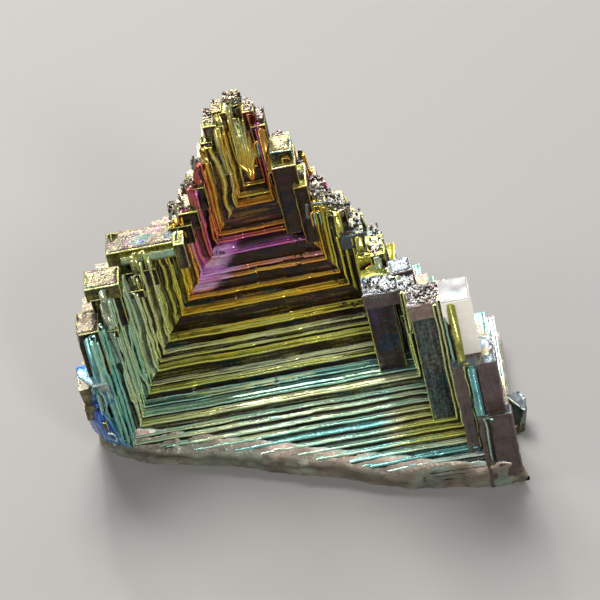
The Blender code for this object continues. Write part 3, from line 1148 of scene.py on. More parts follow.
def deep_horn(frames: list[Frame], depth: float, mouth: float) -> bmesh.types.BMesh:
    """A closed horn that clears a funnel's place a little deeper than its ledges.

    Args:
        frames: The funnel's frames.
        depth: How much deeper it goes.
        mouth: How far out it opens.

    Returns:
        The horn's mesh on the crystal's own axes.
    """
    mesh = bmesh.new()
    stations = []
    for here, after in zip(frames, frames[1:] + [None]):
        stations.append((here.out - depth, here))
        stations.append(((after.out if after else mouth) - depth, here))
    rings = []
    for index, (out, here) in enumerate(stations):
        ceiling = HORN_CEILING + HORN_STAGGER * index
        left, right, floor = here.left - depth, here.right + depth, here.floor - depth
        corners = ((left, floor), (right, floor), (right, ceiling), (left, ceiling))
        rings.append([mesh.verts.new(place_of(across, out, up)) for across, up in corners])
    for first, second in zip(rings, rings[1:]):
        for index in range(4):
            after = (index + 1) % 4
            mesh.faces.new((first[index], first[after], second[after], second[index]))
    mesh.faces.new(rings[0])
    mesh.faces.new(rings[-1])
    bmesh.ops.recalc_face_normals(mesh, faces=mesh.faces)
    return mesh


def tree_of(data: bpy.types.Mesh, move: Matrix) -> BVHTree:
    """A mesh, moved by a matrix, as a tree of faces for finding where it ends."""
    places = [move @ point.co for point in data.vertices]
    return BVHTree.FromPolygons(places, [face.vertices for face in data.polygons])


@dataclass
class Core:
    """The arms and the foot: the solid crystal with room cut for the linings of its funnels."""

    stance: Matrix
    depth: float = 0.42
    mouth: float = 60.0
    edge: float = 0.09
    drawn_in: float = 0.994
    same: float = 1e-7

    def build(self, front: list[Frame], finishes: Finishes) -> bpy.types.Object:
        """Cuts room for the funnels, a little deeper than their ledges.

        Args:
            front: The front funnel's frames.
            finishes: The crystal's finishes.

        Returns:
            The core.
        """
        data = frame["nodes"][NODE].data.copy()
        data.name = "core"
        data.materials.clear()
        core = link_piece("core", data, Matrix.Identity(4), finishes.core)
        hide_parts(NODE)
        mesh = bmesh.new()
        mesh.from_mesh(data)
        bmesh.ops.remove_doubles(mesh, verts=mesh.verts, dist=self.same)
        bmesh.ops.scale(mesh, vec=(self.drawn_in,) * 3, verts=mesh.verts)
        mesh.to_mesh(data)
        mesh.free()
        tools = [self.tool("front_room", deep_horn(front, self.depth, self.mouth), 0.0)]
        for funnel in SIDE_FUNNELS:
            horn = deep_horn(funnel.frames(), 0.5 * self.depth, self.mouth)
            tools.append(self.tool(f"{funnel.name}_room", horn, funnel.turn))
        for tool in tools:
            step = core.modifiers.new(tool.name, "BOOLEAN")
            step.operation = "DIFFERENCE"
            step.solver = "EXACT"
            step.use_self = True
            step.object = tool
        self.settle(core)
        for tool in tools:
            bpy.data.objects.remove(tool, do_unlink=True)
        return core

    def tool(self, name: str, mesh: bmesh.types.BMesh, turn: float) -> bpy.types.Object:
        """An object that only cuts, and is removed afterwards.

        Args:
            name: Its name.
            mesh: Its shape on the funnel's own axes.
            turn: How far the funnel is turned from the front, in degrees.

        Returns:
            The object.
        """
        data = bpy.data.meshes.new(name)
        mesh.to_mesh(data)
        mesh.free()
        tool = bpy.data.objects.new(name, data)
        bpy.context.scene.collection.objects.link(tool)
        tool.matrix_world = self.stance @ Matrix.Rotation(math.radians(turn), 4, "Z")
        return tool

    def settle(self, core: bpy.types.Object) -> None:
        """Applies the cuts, so that the core's mesh can be measured.

        Args:
            core: The core.
        """
        bpy.context.view_layer.update()
        graph = bpy.context.evaluated_depsgraph_get()
        cut = bpy.data.meshes.new_from_object(core.evaluated_get(graph), depsgraph=graph)
        core.modifiers.clear()
        core.data = cut

    def tree(self, core: bpy.types.Object) -> BVHTree:
        """The core's shape on the crystal's own axes, for finding what stands where."""
        return tree_of(core.data, self.stance.inverted())

    def finish(self, core: bpy.types.Object) -> None:
        """Rounds the core's edges a little.

        Args:
            core: The core.
        """
        bevel = core.modifiers.new("edges", "BEVEL")
        bevel.width = self.edge * MM
        bevel.segments = 2
        bevel.limit_method = "ANGLE"
        bevel.angle_limit = math.radians(35.0)


@dataclass(frozen=True)
class Strip:
    """An upright strip of a block's front that stands forward or back, between two shares of the width."""

    left: float
    right: float
    depth: float


@dataclass(frozen=True)
class Block:
    """One block grown on an arm: its (low, high) pairs, its tilt in degrees and how its faces look."""

    across: Pair
    out: Pair
    up: Pair
    tilt: Triple = (0.0, 0.0, 0.0)
    # film: the colour along the edges, where a painted highlight lifts the shade.
    film: float = 0.6
    face_film: float = 0.6
    # dark and top_dark: how dark the sides and the top are, partly darker oxide and partly painted shade.
    dark: float = 0.9
    top_dark: float = 0.4
    top_film: float = 0.62
    hollow: float = 0.10
    frame: float = 0.22
    rough: float = 0.03
    crusty: float = 0.0
    strips: tuple[Strip, ...] = ()


class BlockMaker:
    """Makes grown blocks: rounded edges, sunken faces inside raised frames, upright strips and grain."""

    ROUND = 0.11
    CELL = 0.24
    PROUD = 0.05
    # The first grid lines from each edge, as multiples of the rounding.
    NEAR = (0.0, 0.35, 1.0, 1.7, 2.4)
    FRAME_SLOPE = 0.12
    GRAIN_PITCH = 0.9
    FINE_PITCH = 0.35
    CRUST_PITCH = 0.45
    # How far under a block's top its crust starts and is full.
    CRUST_DEPTHS = (1.1, 0.5)

    def __init__(self, seed: int) -> None:
        """Draws the noise that roughens the blocks."""
        self.ripple = Ripple(seed)

    def marks(self, half: float) -> np.ndarray:
        """Where the grid lines of one side run, close together at its two ends.

        Args:
            half: Half the side's length.

        Returns:
            The lines' places, from one end to the other.
        """
        near = np.array(self.NEAR) * self.ROUND
        near = near[near < 0.8 * half]
        inner = half - near[-1]
        count = max(2, round(2.0 * inner / self.CELL))
        middle = np.linspace(-inner, inner, count + 1)[1:-1]
        return np.concatenate([near - half, middle, half - near[::-1]])

    def add(self, skin: Skin, block: Block) -> None:
        """Adds a block's six faces to a surface.

        Args:
            skin: The surface.
            block: The block.
        """
        pairs = (block.across, block.out, block.up)
        half = np.array([(high - low) / 2.0 + self.PROUD for low, high in pairs])
        centre = np.array([(high + low) / 2.0 for low, high in pairs])
        pitch, roll, yaw = (math.radians(angle) for angle in block.tilt)
        turn = Matrix.Rotation(yaw, 3, "Z") @ Matrix.Rotation(roll, 3, "Y") @ Matrix.Rotation(pitch, 3, "X")
        for axis in range(3):
            for sign in (-1.0, 1.0):
                points, film, shade = self.face(block, half, axis, sign, centre)
                local = points * np.array([1.0, -1.0, 1.0])
                local = local @ np.array(turn).T
                placed = local * np.array([1.0, -1.0, 1.0]) + centre
                faces = grid_faces(*points.shape[:2])
                if (sign > 0) == (axis != 1):
                    faces = faces[..., ::-1]
                skin.add(placed, faces, film, shade)

    def face(
        self, block: Block, half: np.ndarray, axis: int, sign: float, centre: np.ndarray
    ) -> tuple[np.ndarray, np.ndarray, np.ndarray]:
        """One face of a block about its centre.

        Args:
            block: The block.
            half: Its three half sizes.
            axis: The axis that the face looks along.
            sign: Which way it looks.
            centre: The block's centre, which seeds its grain.

        Returns:
            The points, the film and the shade.
        """
        first, second = [other for other in range(3) if other != axis]
        along, over = np.meshgrid(self.marks(half[first]), self.marks(half[second]), indexing="ij")
        points = np.zeros((*along.shape, 3))
        points[..., first], points[..., second], points[..., axis] = along, over, sign * half[axis]
        radius = min(self.ROUND, 0.45 * float(half.min()))
        inner = np.clip(points, radius - half, half - radius)
        away = points - inner
        normal = away / np.linalg.norm(away, axis=-1, keepdims=True)
        points = inner + radius * normal
        margin = np.minimum(half[first] - abs(along), half[second] - abs(over))
        sunk = block.hollow * ease(margin, block.frame, block.frame + self.FRAME_SLOPE)
        is_top = axis == 2 and sign > 0
        # Painted shade: the sides take the block's dark, the top its top_dark, partly darker oxide.
        dark_and_painted_shade = np.full(margin.shape, block.top_dark if is_top else block.dark)
        film = np.full(margin.shape, block.top_film if is_top else block.face_film)
        if axis == 1 and sign > 0:
            for strip in block.strips:
                low, high = (mix(-half[first], half[first], share) for share in (strip.left, strip.right))
                inside = band(along, low, low + 0.1, high, 0.1) * ease(margin, 0.1, 0.3)
                sunk = sunk + strip.depth * inside
        # Painted highlight: along each face's rim the film turns to the edge colour and most of the shade is
        # lifted.
        edge = 1.0 - ease(margin, 0.05, 0.5 * block.frame)
        film = film + edge * (block.film - film)
        dark_and_painted_shade = dark_and_painted_shade * (1.0 - 0.85 * edge)
        seeded = points + centre
        grain = block.rough * self.ripple.at(seeded, self.GRAIN_PITCH)
        grain = grain + 0.5 * block.rough * self.ripple.at(seeded, self.FINE_PITCH)
        if block.crusty:
            start, full = self.CRUST_DEPTHS
            crust = ease(points[..., 2], half[2] - start, half[2] - full)
            grain = grain + block.crusty * crust * self.ripple.at(seeded, self.CRUST_PITCH)
            dark_and_painted_shade = dark_and_painted_shade * (1.0 - 0.5 * crust)
        return points + normal * (grain - sunk)[..., None], film, dark_and_painted_shade


# The blocks of each cluster: across, out, up and tilt, then how they look.
CORNICES = (
    Block((-15.7, -8.0), (4.0, 7.4), (-2.7, -0.86), film=0.64, face_film=0.62, dark=0.8, top_dark=1.0),
    Block(
        (-14.3, -8.7), (7.0, 7.7), (-2.3, -1.5),
        film=0.78, face_film=0.78, dark=0.35, top_dark=0.3, hollow=0.0,
    ),
    Block((-8.6, -7.5), (5.7, 7.9), (-4.1, -0.9), film=0.60, face_film=0.62, dark=0.95, top_dark=0.6),
    Block(
        (-15.4, -14.6), (4.3, 5.1), (-1.5, -0.6), (38.0, 32.0, 20.0),
        film=0.64, face_film=0.66, dark=1.0, top_dark=0.9,
    ),
    Block((-17.9, -14.3), (10.0, 13.0), (-2.2, -0.56), film=0.64, face_film=0.62, dark=0.9, top_dark=0.95),
    Block((-17.5, -16.1), (10.8, 13.2), (-4.8, -1.9), film=0.72, face_film=0.70, dark=1.1, hollow=0.35),
    Block(
        (-19.5, -17.2), (12.5, 16.1), (-9.6, -3.66), (0.0, 0.0, 2.0),
        film=0.70, dark=1.1, top_dark=1.0, rough=0.07,
    ),
    Block(
        (-20.9, -17.7), (14.1, 17.6), (-12.2, -9.3), (4.0, -4.0, 4.0),
        film=0.95, face_film=0.95, dark=0.4, top_dark=0.1, top_film=0.95, rough=0.09,
    ),
    Block(
        (-20.8, -19.0), (15.4, 18.1), (-17.5, -11.8), (-3.0, 3.0, 0.0),
        film=0.98, face_film=0.99, dark=0.1, top_dark=0.0, top_film=0.98, rough=0.08,
    ),
)
PILLARS = (
    Block(
        (2.9, 5.1), (0.1, 2.8), (3.4, 4.6), (0.0, 3.0, 0.0),
        film=0.87, face_film=0.87, dark=1.0, top_dark=0.9, rough=0.06,
    ),
    Block(
        (2.8, 5.3), (0.4, 4.2), (-5.0, 3.6),
        film=0.10, face_film=0.10, dark=1.15, top_dark=0.7, hollow=0.14, rough=0.05,
    ),
    Block(
        (4.6, 6.0), (1.0, 4.9), (-6.2, 1.2),
        film=0.12, face_film=0.12, dark=1.15, top_dark=0.4, hollow=0.14, rough=0.05,
    ),
    Block((9.6, 12.5), (5.4, 8.6), (-11.0, -6.4), film=0.62, dark=1.0, top_dark=0.8, crusty=0.16, rough=0.06),
    Block(
        (9.7, 12.5),
        (8.8, 13.2),
        (-19.4, -7.9),
        film=0.50,
        face_film=0.96,
        dark=1.0,
        crusty=0.1,
        strips=(Strip(0.42, 0.52, 0.12), Strip(0.52, 0.72, -0.06)),
    ),
    Block(
        (14.3, 17.7),
        (15.0, 17.9),
        (-22.6, -8.1),
        film=0.60,
        face_film=0.88,
        dark=0.9,
        strips=(Strip(0.28, 0.36, 0.25), Strip(0.62, 0.7, 0.2), Strip(0.8, 0.9, 0.18)),
    ),
)
PALE_BLOCKS = (
    Block(
        (5.3, 7.4), (2.4, 4.8), (-3.2, -1.3), (0.0, 7.0, 0.0),
        film=0.8, face_film=0.75, dark=0.35, top_dark=0.5, rough=0.05,
    ),
    Block(
        (8.2, 10.6), (4.2, 6.8), (-6.4, -4.7), (0.0, 2.0, 3.0),
        film=0.55, face_film=0.6, dark=0.6, top_dark=0.6, crusty=0.15,
    ),
    Block(
        (9.6, 15.0), (10.4, 13.4), (-9.4, -7.7), (0.0, 1.0, 0.0),
        film=0.25, face_film=0.3, dark=0.6, top_dark=1.0, crusty=0.14,
    ),
    Block(
        (12.7, 15.1), (8.6, 10.9), (-12.6, -7.4), (0.0, -2.0, 4.0),
        film=0.1, face_film=0.25, dark=0.5, top_dark=0.4,
    ),
    Block(
        (14.2, 17.8), (14.9, 18.0), (-8.2, -6.2),
        film=0.1, face_film=0.1, dark=0.5, top_dark=1.0, crusty=0.2,
    ),
    Block(
        (20.9, 22.9), (10.4, 13.4), (-36.0, -27.0), (8.0, 20.0, 38.0),
        film=0.8, face_film=0.8, dark=0.5, rough=0.16,
    ),
    Block(
        (18.96, 22.44), (20.3, 21.64), (-33.0, -19.56),
        film=0.3, face_film=0.3, dark=0.5, top_dark=0.5, rough=0.08,
    ),
    Block(
        (17.4, 21.9),
        (16.6, 20.8),
        (-32.0, -13.0),
        film=0.3,
        face_film=0.3,
        dark=0.45,
        top_dark=0.3,
        crusty=0.18,
        rough=0.07,
        strips=(Strip(0.11, 0.2, 0.3), Strip(0.29, 0.37, 0.3), Strip(0.44, 0.51, 0.25)),
    ),
)
# A face painted near white, hardly metal: a painted reflection of the mirror face.
PAINTED_REFLECTION_BLOCKS = (
    Block(
        (17.6, 20.5), (15.7, 18.9), (-20.0, -5.0), (6.0, 0.0, 0.0),
        film=1.0, face_film=1.0, dark=-0.5, hollow=0.0, top_dark=1.1, top_film=0.1,
    ),
)


# Arms that frame the front funnel: front plane, outer edge, inner edge, top.
LEFT_ARM = (
    (0.3, -2.1, -1.2, 9.2),
    (1.1, -3.3, -2.0, 8.1),
    (1.6, -3.9, -2.8, 6.5),
    (2.0, -4.8, -3.4, 4.2),
    (3.4, -6.3, -4.5, 2.3),
    (4.7, -7.7, -5.7, 0.4),
    (5.2, -9.0, -6.6, -0.8),
    (6.6, -15.2, -9.2, -2.2),
    (8.0, -15.5, -11.0, -3.4),
    (9.6, -15.9, -12.6, -4.6),
    (12.4, -17.6, -14.6, -2.2),
    (14.0, -18.2, -15.6, -5.6),
    (15.5, -19.2, -17.2, -4.3),
    (17.0, -20.6, -17.9, -10.2),
    (18.8, -21.2, -18.7, -13.6),
)
RIGHT_ARM = (
    (0.2, 2.0, 0.9, 8.4),
    (0.9, 2.9, 1.5, 6.9),
    (1.4, 4.9, 2.8, 3.5),
    (2.2, 4.7, 2.3, 1.7),
    (3.1, 5.8, 4.4, 0.9),
    (4.4, 7.4, 5.4, -1.4),
    (5.4, 9.3, 7.4, -2.5),
    (6.4, 10.6, 8.2, -4.8),
    (8.2, 12.5, 9.6, -6.6),
    (10.6, 14.4, 11.6, -10.4),
    (12.8, 15.8, 13.0, -11.6),
    (15.4, 17.4, 14.6, -10.6),
    (17.4, 19.6, 16.4, -12.0),
    (19.4, 21.4, 17.6, -14.2),
    (21.6, 22.4, 19.0, -19.6),
)


@dataclass(frozen=True)
class ArmSteps:
    """The steps of one arm, each capped by a block with a framed face painted dark, partly darker oxide and
    partly painted shade.
    """

    steps: tuple[tuple[float, float, float, float], ...]
    films: Pair
    face_films: Pair
    proud: float = 0.04
    deep: float = 1.3
    overlap: float = 0.9
    last_drop: float = 3.0

    def blocks(self) -> tuple[Block, ...]:
        """One block for each step.

        Returns:
            The blocks, from the tip outwards.
        """
        made = []
        lower = self.steps[1:] + ((0.0, 0.0, 0.0, self.steps[-1][3] - self.last_drop),)
        for index, (step, following) in enumerate(zip(self.steps, lower)):
            front, outer, inner, top = step
            share = index / len(self.steps)
            left, right = sorted((outer, inner))
            foot = min(following[3], top) - self.overlap
            made.append(
                Block(
                    (left - self.proud, right + self.proud),
                    (front - self.deep, front + self.proud),
                    (foot, top + self.proud),
                    film=mix(*self.films, share),
                    face_film=mix(*self.face_films, share),
                    dark=1.1,
                    top_dark=0.8,
                    hollow=0.12,
                    frame=0.16,
                    rough=0.05,
                )
            )
        return tuple(made)


@dataclass(frozen=True)
class RimLine:
    """The line of the broken rim seen from above, in millimetres from the nucleus in the shared frame."""

    points: tuple[Pair, ...] = (
        (-24.0, -4.0), (-18.6, -8.0), (-17.6, -12.2), (-14.9, -15.4), (-12.4, -16.7),
        (-8.8, -17.3), (-4.6, -17.5), (0.2, -17.9), (4.4, -19.1), (9.4, -19.4),
        (14.2, -20.7), (19.4, -21.6), (22.9, -22.6), (26.0, -20.7), (30.0, -19.6),
    )
    heights: tuple[float, ...] = (0.9, 1.9, 2.9, 4.0, 8.0)
    leans: tuple[float, ...] = (0.5, 0.0, 0.0, -2.4, -4.4)
    lowest: float = 0.02

    def corners(self) -> np.ndarray:
        """The line's corners in the shared frame, in millimetres."""
        return np.array(self.points) + np.array(Stance().nucleus[:2])

    def trim(self, data: bpy.types.Mesh, spare: float = 0.35) -> None:
        """Takes away the faces of a sheet that lie beyond the rim or under the base.

        Args:
            data: A sheet in the shared frame.
            spare: How far beyond a point may lie, in millimetres.
        """
        line = self.corners()
        mesh = bmesh.new()
        mesh.from_mesh(data)
        lost = []
        for point in mesh.verts:
            across, away, height = point.co / MM
            edge = np.interp(across, line[:, 0], line[:, 1]) + np.interp(height, self.heights, self.leans)
            if height < self.lowest or away < edge - spare:
                lost.append(point)
        bmesh.ops.delete(mesh, geom=lost, context="VERTS")
        loose = [point for point in mesh.verts if not point.link_faces]
        bmesh.ops.delete(mesh, geom=loose, context="VERTS")
        mesh.to_mesh(data)
        mesh.free()

    def slide(self, places: np.ndarray, margin: float) -> np.ndarray:
        """Slides every place that lies beyond the rim or under the base back to it.

        Args:
            places: Places in the shared frame, in millimetres.
            margin: How far inside the rim such a place ends, in millimetres.

        Returns:
            The places after the slide.
        """
        line = self.corners()
        places = places.copy()
        lean = np.interp(places[:, 2], self.heights, self.leans)
        places[:, 1] -= lean
        beyond = places[:, 1] < np.interp(places[:, 0], line[:, 0], line[:, 1]) + margin
        starts, ends = line[:-1], line[1:]
        spans = ends - starts
        for index in np.nonzero(beyond)[0]:
            share = np.clip(((places[index, :2] - starts) * spans).sum(1) / (spans**2).sum(1), 0.0, 1.0)
            nearest = starts + spans * share[:, None]
            best = np.argmin(((places[index, :2] - nearest) ** 2).sum(1))
            normal = np.array([-spans[best, 1], spans[best, 0]])
            places[index, :2] = nearest[best] + margin * normal / np.linalg.norm(normal)
        places[:, 1] += lean
        places[:, 2] = np.maximum(places[:, 2], 0.0)
        return places

    def pull_in(self, data: bpy.types.Mesh, margin: float) -> None:
        """Slides the points of a mesh back to the rim, as slide does.

        Args:
            data: A mesh in the shared frame.
            margin: How far inside the rim such a point ends, in millimetres.
        """
        places = self.slide(np.array([point.co for point in data.vertices]) / MM, margin)
        data.vertices.foreach_set("co", (places * MM).astype(np.float32).ravel())
        data.update()


class Look(Enum):
    """Which finish a cluster of blocks wears."""

    OXIDE = "block"
    PALE = "stone"
    # The near-white finish that paints a reflection.
    PAINTED_REFLECTION = "bright"


@dataclass(frozen=True)
class Cluster:
    """A named group of blocks that makes one piece."""

    name: str
    blocks: tuple[Block, ...]
    seed: int
    look: Look = Look.OXIDE

    def build(self, stance: Matrix, finishes: Finishes) -> None:
        """Makes the piece and reports it.

        Args:
            stance: Where the crystal's own axes stand.
            finishes: The crystal's finishes.
        """
        maker = BlockMaker(self.seed)
        skin = Skin()
        for block in self.blocks:
            maker.add(skin, block)
        piece = link_piece(self.name, skin.mesh(self.name), stance, getattr(finishes, self.look.value))
        RimLine().pull_in(piece.data, 0.0)
        log.info("built %s with %d blocks", self.name, len(self.blocks))


@dataclass(frozen=True)
class Ridge:
    """A thin wavy ridge: its path, its thickness along the path and how it is coloured."""

    path: tuple[Triple, ...]
    radius: float
    film: Pair
    shade: float = 0.1
    wave: float = 0.10
    sides: int = 8
    step: float = 0.22


class RidgeMaker:
    """Grows wavy ridges along their paths."""

    WAVE_PITCH = 1.1
    SWELL = 0.3
    SWELL_PITCH = 0.6
    # A direction that no ridge runs along, from which its sides are turned.
    ASIDE = (0.31, 0.87, 0.38)
    # How many times its length a ridge tapers in at each end, and its thinnest share.
    TAPER = 9.0
    THINNEST = 0.05

    def __init__(self, seed: int) -> None:
        """Draws the noise that waves and swells the ridges."""
        self.ripple = Ripple(seed)

    def line(self, ridge: Ridge) -> np.ndarray:
        """The ridge's middle line in short steps, with rounded turns and waves.

        Args:
            ridge: The ridge.

        Returns:
            The line's points.
        """
        corners = np.array(ridge.path)
        lengths = np.concatenate([[0.0], np.cumsum(np.linalg.norm(np.diff(corners, axis=0), axis=1))])
        count = max(6, int(lengths[-1] / ridge.step))
        along = np.linspace(0.0, lengths[-1], count)
        line = np.stack([np.interp(along, lengths, corners[:, axis]) for axis in range(3)], axis=1)
        for _ in range(2):
            line[1:-1] = 0.25 * line[:-2] + 0.5 * line[1:-1] + 0.25 * line[2:]
        stray = np.stack([self.ripple.at(line + 5.0 * axis, self.WAVE_PITCH) for axis in range(3)], axis=1)
        return line + ridge.wave * stray

    def add(self, skin: Skin, ridge: Ridge) -> None:
        """Adds a ridge to a surface.

        Args:
            skin: The surface.
            ridge: The ridge.
        """
        line = self.line(ridge)
        ahead = np.gradient(line, axis=0)
        ahead /= np.linalg.norm(ahead, axis=1, keepdims=True)
        side = np.cross(ahead, np.array(self.ASIDE))
        side /= np.linalg.norm(side, axis=1, keepdims=True)
        over = np.cross(ahead, side)
        share = np.linspace(0.0, 1.0, len(line))
        taper = np.clip(np.minimum(share, 1.0 - share) * self.TAPER, self.THINNEST, 1.0) ** 0.5
        swell = 1.0 + self.SWELL * self.ripple.at(line, self.SWELL_PITCH)
        radius = (ridge.radius * taper * swell)[:, None, None]
        angles = np.linspace(0.0, 2.0 * math.pi, ridge.sides + 1)[None, :, None]
        ring = np.cos(angles) * side[:, None, :] + np.sin(angles) * over[:, None, :]
        points = line[:, None, :] + radius * ring
        film = np.broadcast_to(mix(*ridge.film, share)[:, None], points.shape[:2])
        skin.add(points, grid_faces(*points.shape[:2]), film, np.full(points.shape[:2], ridge.shade))


def build_ridges(
    name: str, ridges: list[Ridge], seed: int, stance: Matrix, material: bpy.types.Material
) -> bpy.types.Object:
    """Makes one piece of a group of ridges and reports it.

    Args:
        name: The piece's name.
        ridges: The ridges.
        seed: What seeds their waves.
        stance: Where the crystal's own axes stand.
        material: The piece's finish.

    Returns:
        The piece.
    """
    maker = RidgeMaker(seed)
    skin = Skin()
    for ridge in ridges:
        maker.add(skin, ridge)
    piece = link_piece(name, skin.mesh(name), stance, material)
    log.info("built %s with %d ridges", name, len(ridges))
    return piece


@dataclass(frozen=True)
class TipFan:
    """The ridges that fan out of the nucleus up to the tip, and the small crystals that crown it."""

    ridges: int = 11
    spread: Pair = (-27.0, 17.0)
    lengths: Pair = (4.6, 8.2)
    root: Triple = (0.15, 0.95, 0.15)
    rake: float = 0.36
    radius: Pair = (0.16, 0.26)
    parts: tuple[float, ...] = (0.04, 0.25, 0.45, 0.62, 0.8, 1.0)
    crystals: int = 20
    heights: Pair = (4.6, 8.55)
    widths: Pair = (1.9, 0.55)
    most_tilt: float = 28.0
    seed: int = 41

    def fan(self) -> list[Ridge]:
        """The fan's ridges.

        Returns:
            The ridges, from left to right.
        """
        draw = np.random.default_rng(self.seed)
        made = []
        for index in range(self.ridges):
            share = index / (self.ridges - 1)
            angle = math.radians(mix(*self.spread, share))
            length = mix(*self.lengths, 1.0 - abs(2.0 * share - 1.0)) * draw.uniform(0.85, 1.0)
            path = []
            for part in self.parts:
                reach = part * length
                bend = angle * (0.65 + 0.5 * part)
                up = reach * math.cos(bend)
                out = self.root[1] - self.rake * up + draw.uniform(-0.1, 0.1)
                path.append((self.root[0] + reach * math.sin(bend), out, self.root[2] + up))
            radius, end_film = draw.uniform(*self.radius), draw.uniform(-0.04, 0.05)
            made.append(Ridge(tuple(path), radius, (0.14, end_film), wave=0.24))
        return made

    def crown(self) -> tuple[Block, ...]:
        """The small crystals at the tip.

        Returns:
            The crystals, from the lowest to the highest.
        """
        draw = np.random.default_rng(self.seed + 1)
        made = []
        for index in range(self.crystals):
            share = index / self.crystals
            up = mix(*self.heights, share)
            across = draw.uniform(-1.0, 1.0) * mix(*self.widths, share) + 0.05
            out = -self.rake * up + draw.uniform(-0.4, 1.1)
            half = draw.uniform(0.28, 0.52)
            tall = half * draw.uniform(1.0, 1.6)
            made.append(
                Block(
                    (across - half, across + half),
                    (out - half, out + half),
                    (up - tall, up + tall),
                    tuple(draw.uniform(-self.most_tilt, self.most_tilt, 3)),
                    film=draw.choice((0.03, 0.08, 0.66, 0.88)),
                    face_film=draw.choice((0.05, 0.62, 0.9)),
                    dark=draw.uniform(0.3, 0.9),
                    top_dark=0.3,
                    rough=0.12,
                    frame=0.12,
                )
            )
        return tuple(made)

    def build(self, stance: Matrix, finishes: Finishes) -> None:
        """Makes the fan."""
        build_ridges("tip_fan", self.fan(), self.seed, stance, finishes.wall)


@dataclass(frozen=True)
class Arches:
    """Small nested arches on the fronts of the right arm: centre, widest radius and how many."""

    spots: tuple[tuple[Triple, float, int], ...] = (
        ((2.1, 1.05, 4.7), 0.72, 3),
        ((11.05, 8.75, -8.2), 0.85, 3),
        ((6.3, 4.95, -2.6), 0.6, 2),
        ((14.0, 11.0, -9.2), 0.7, 2),
    )
    gap: float = 0.3
    tall: float = 1.6
    radius: float = 0.11
    films: Pair = (0.48, 0.84)
    turns: int = 8
    seed: int = 91

    def ridges(self) -> list[Ridge]:
        """The arches' ridges.

        Returns:
            One ridge for each arch.
        """
        made = []
        for (across, out, up), widest, count in self.spots:
            for nested in range(count):
                radius = widest - self.gap * nested
                path = [(across - radius, out, up - self.tall)]
                for turn in range(self.turns + 1):
                    angle = math.pi * turn / self.turns
                    path.append((across - radius * math.cos(angle), out, up + 0.7 * radius * math.sin(angle)))
                path.append((across + radius, out, up - self.tall))
                film = self.films[nested % 2]
                made.append(Ridge(tuple(path), self.radius, (film, film), shade=-0.2, wave=0.05, step=0.12))
        return made

    def build(self, stance: Matrix, finishes: Finishes) -> None:
        """Makes the arches."""
        build_ridges("arches", self.ridges(), self.seed, stance, finishes.wall)


@dataclass(frozen=True)
class BlueRidges:
    """The violet and blue ridges under the left knob, and the small ring beside them."""

    count: int = 7
    first: Triple = (-21.3, 18.4, -12.2)
    last: Triple = (-19.9, 18.4, -18.6)
    pitch: float = 0.42
    radius: float = 0.17
    parts: tuple[float, ...] = (0.0, 0.25, 0.5, 0.75, 1.0)
    ring: Triple = (-18.7, 18.6, -16.0)
    ring_radius: float = 0.75
    ring_thick: float = 0.13
    turns: int = 12
    proud: float = 0.02
    seed: int = 95

    def on_rim(self, path: list[Triple], stance: Matrix) -> tuple[Triple, ...]:
        """A path laid on the face of the break.

        Args:
            path: The path on the crystal's own axes.
            stance: Where those axes stand.

        Returns:
            The path on the break, on the same axes.
        """
        shared = np.array([stance @ place_of(*spot) for spot in path]) / MM
        slid = RimLine().slide(shared, -self.proud)
        back = stance.inverted()
        local = [back @ Vector(spot * MM) / MM for spot in slid]
        return tuple((spot.x, -spot.y, spot.z) for spot in local)

    def ridges(self, stance: Matrix) -> list[Ridge]:
        """The upright ridges and the ring.

        Args:
            stance: Where the crystal's own axes stand.

        Returns:
            The ridges, the ring last.
        """
        made = []
        for index in range(self.count):
            path = []
            for part in self.parts:
                across, out, up = (mix(low, high, part) for low, high in zip(self.first, self.last))
                path.append((across + index * self.pitch, out, up))
            film = 0.97 + 0.03 * (index % 2)
            made.append(Ridge(self.on_rim(path, stance), self.radius, (film, 0.96), shade=-0.1, wave=0.08))
        ring = []
        for turn in range(self.turns + 1):
            angle = 2.0 * math.pi * turn / self.turns
            across = self.ring[0] + 0.7 * self.ring_radius * math.cos(angle)
            ring.append((across, self.ring[1], self.ring[2] + self.ring_radius * math.sin(angle)))
        laid = self.on_rim(ring, stance)
        made.append(Ridge(laid, self.ring_thick, (0.9, 0.93), shade=-0.2, wave=0.03, step=0.12))
        return made

    def build(self, stance: Matrix, finishes: Finishes) -> None:
        """Makes the ridges."""
        build_ridges("blue_ridges", self.ridges(stance), self.seed, stance, finishes.wall)


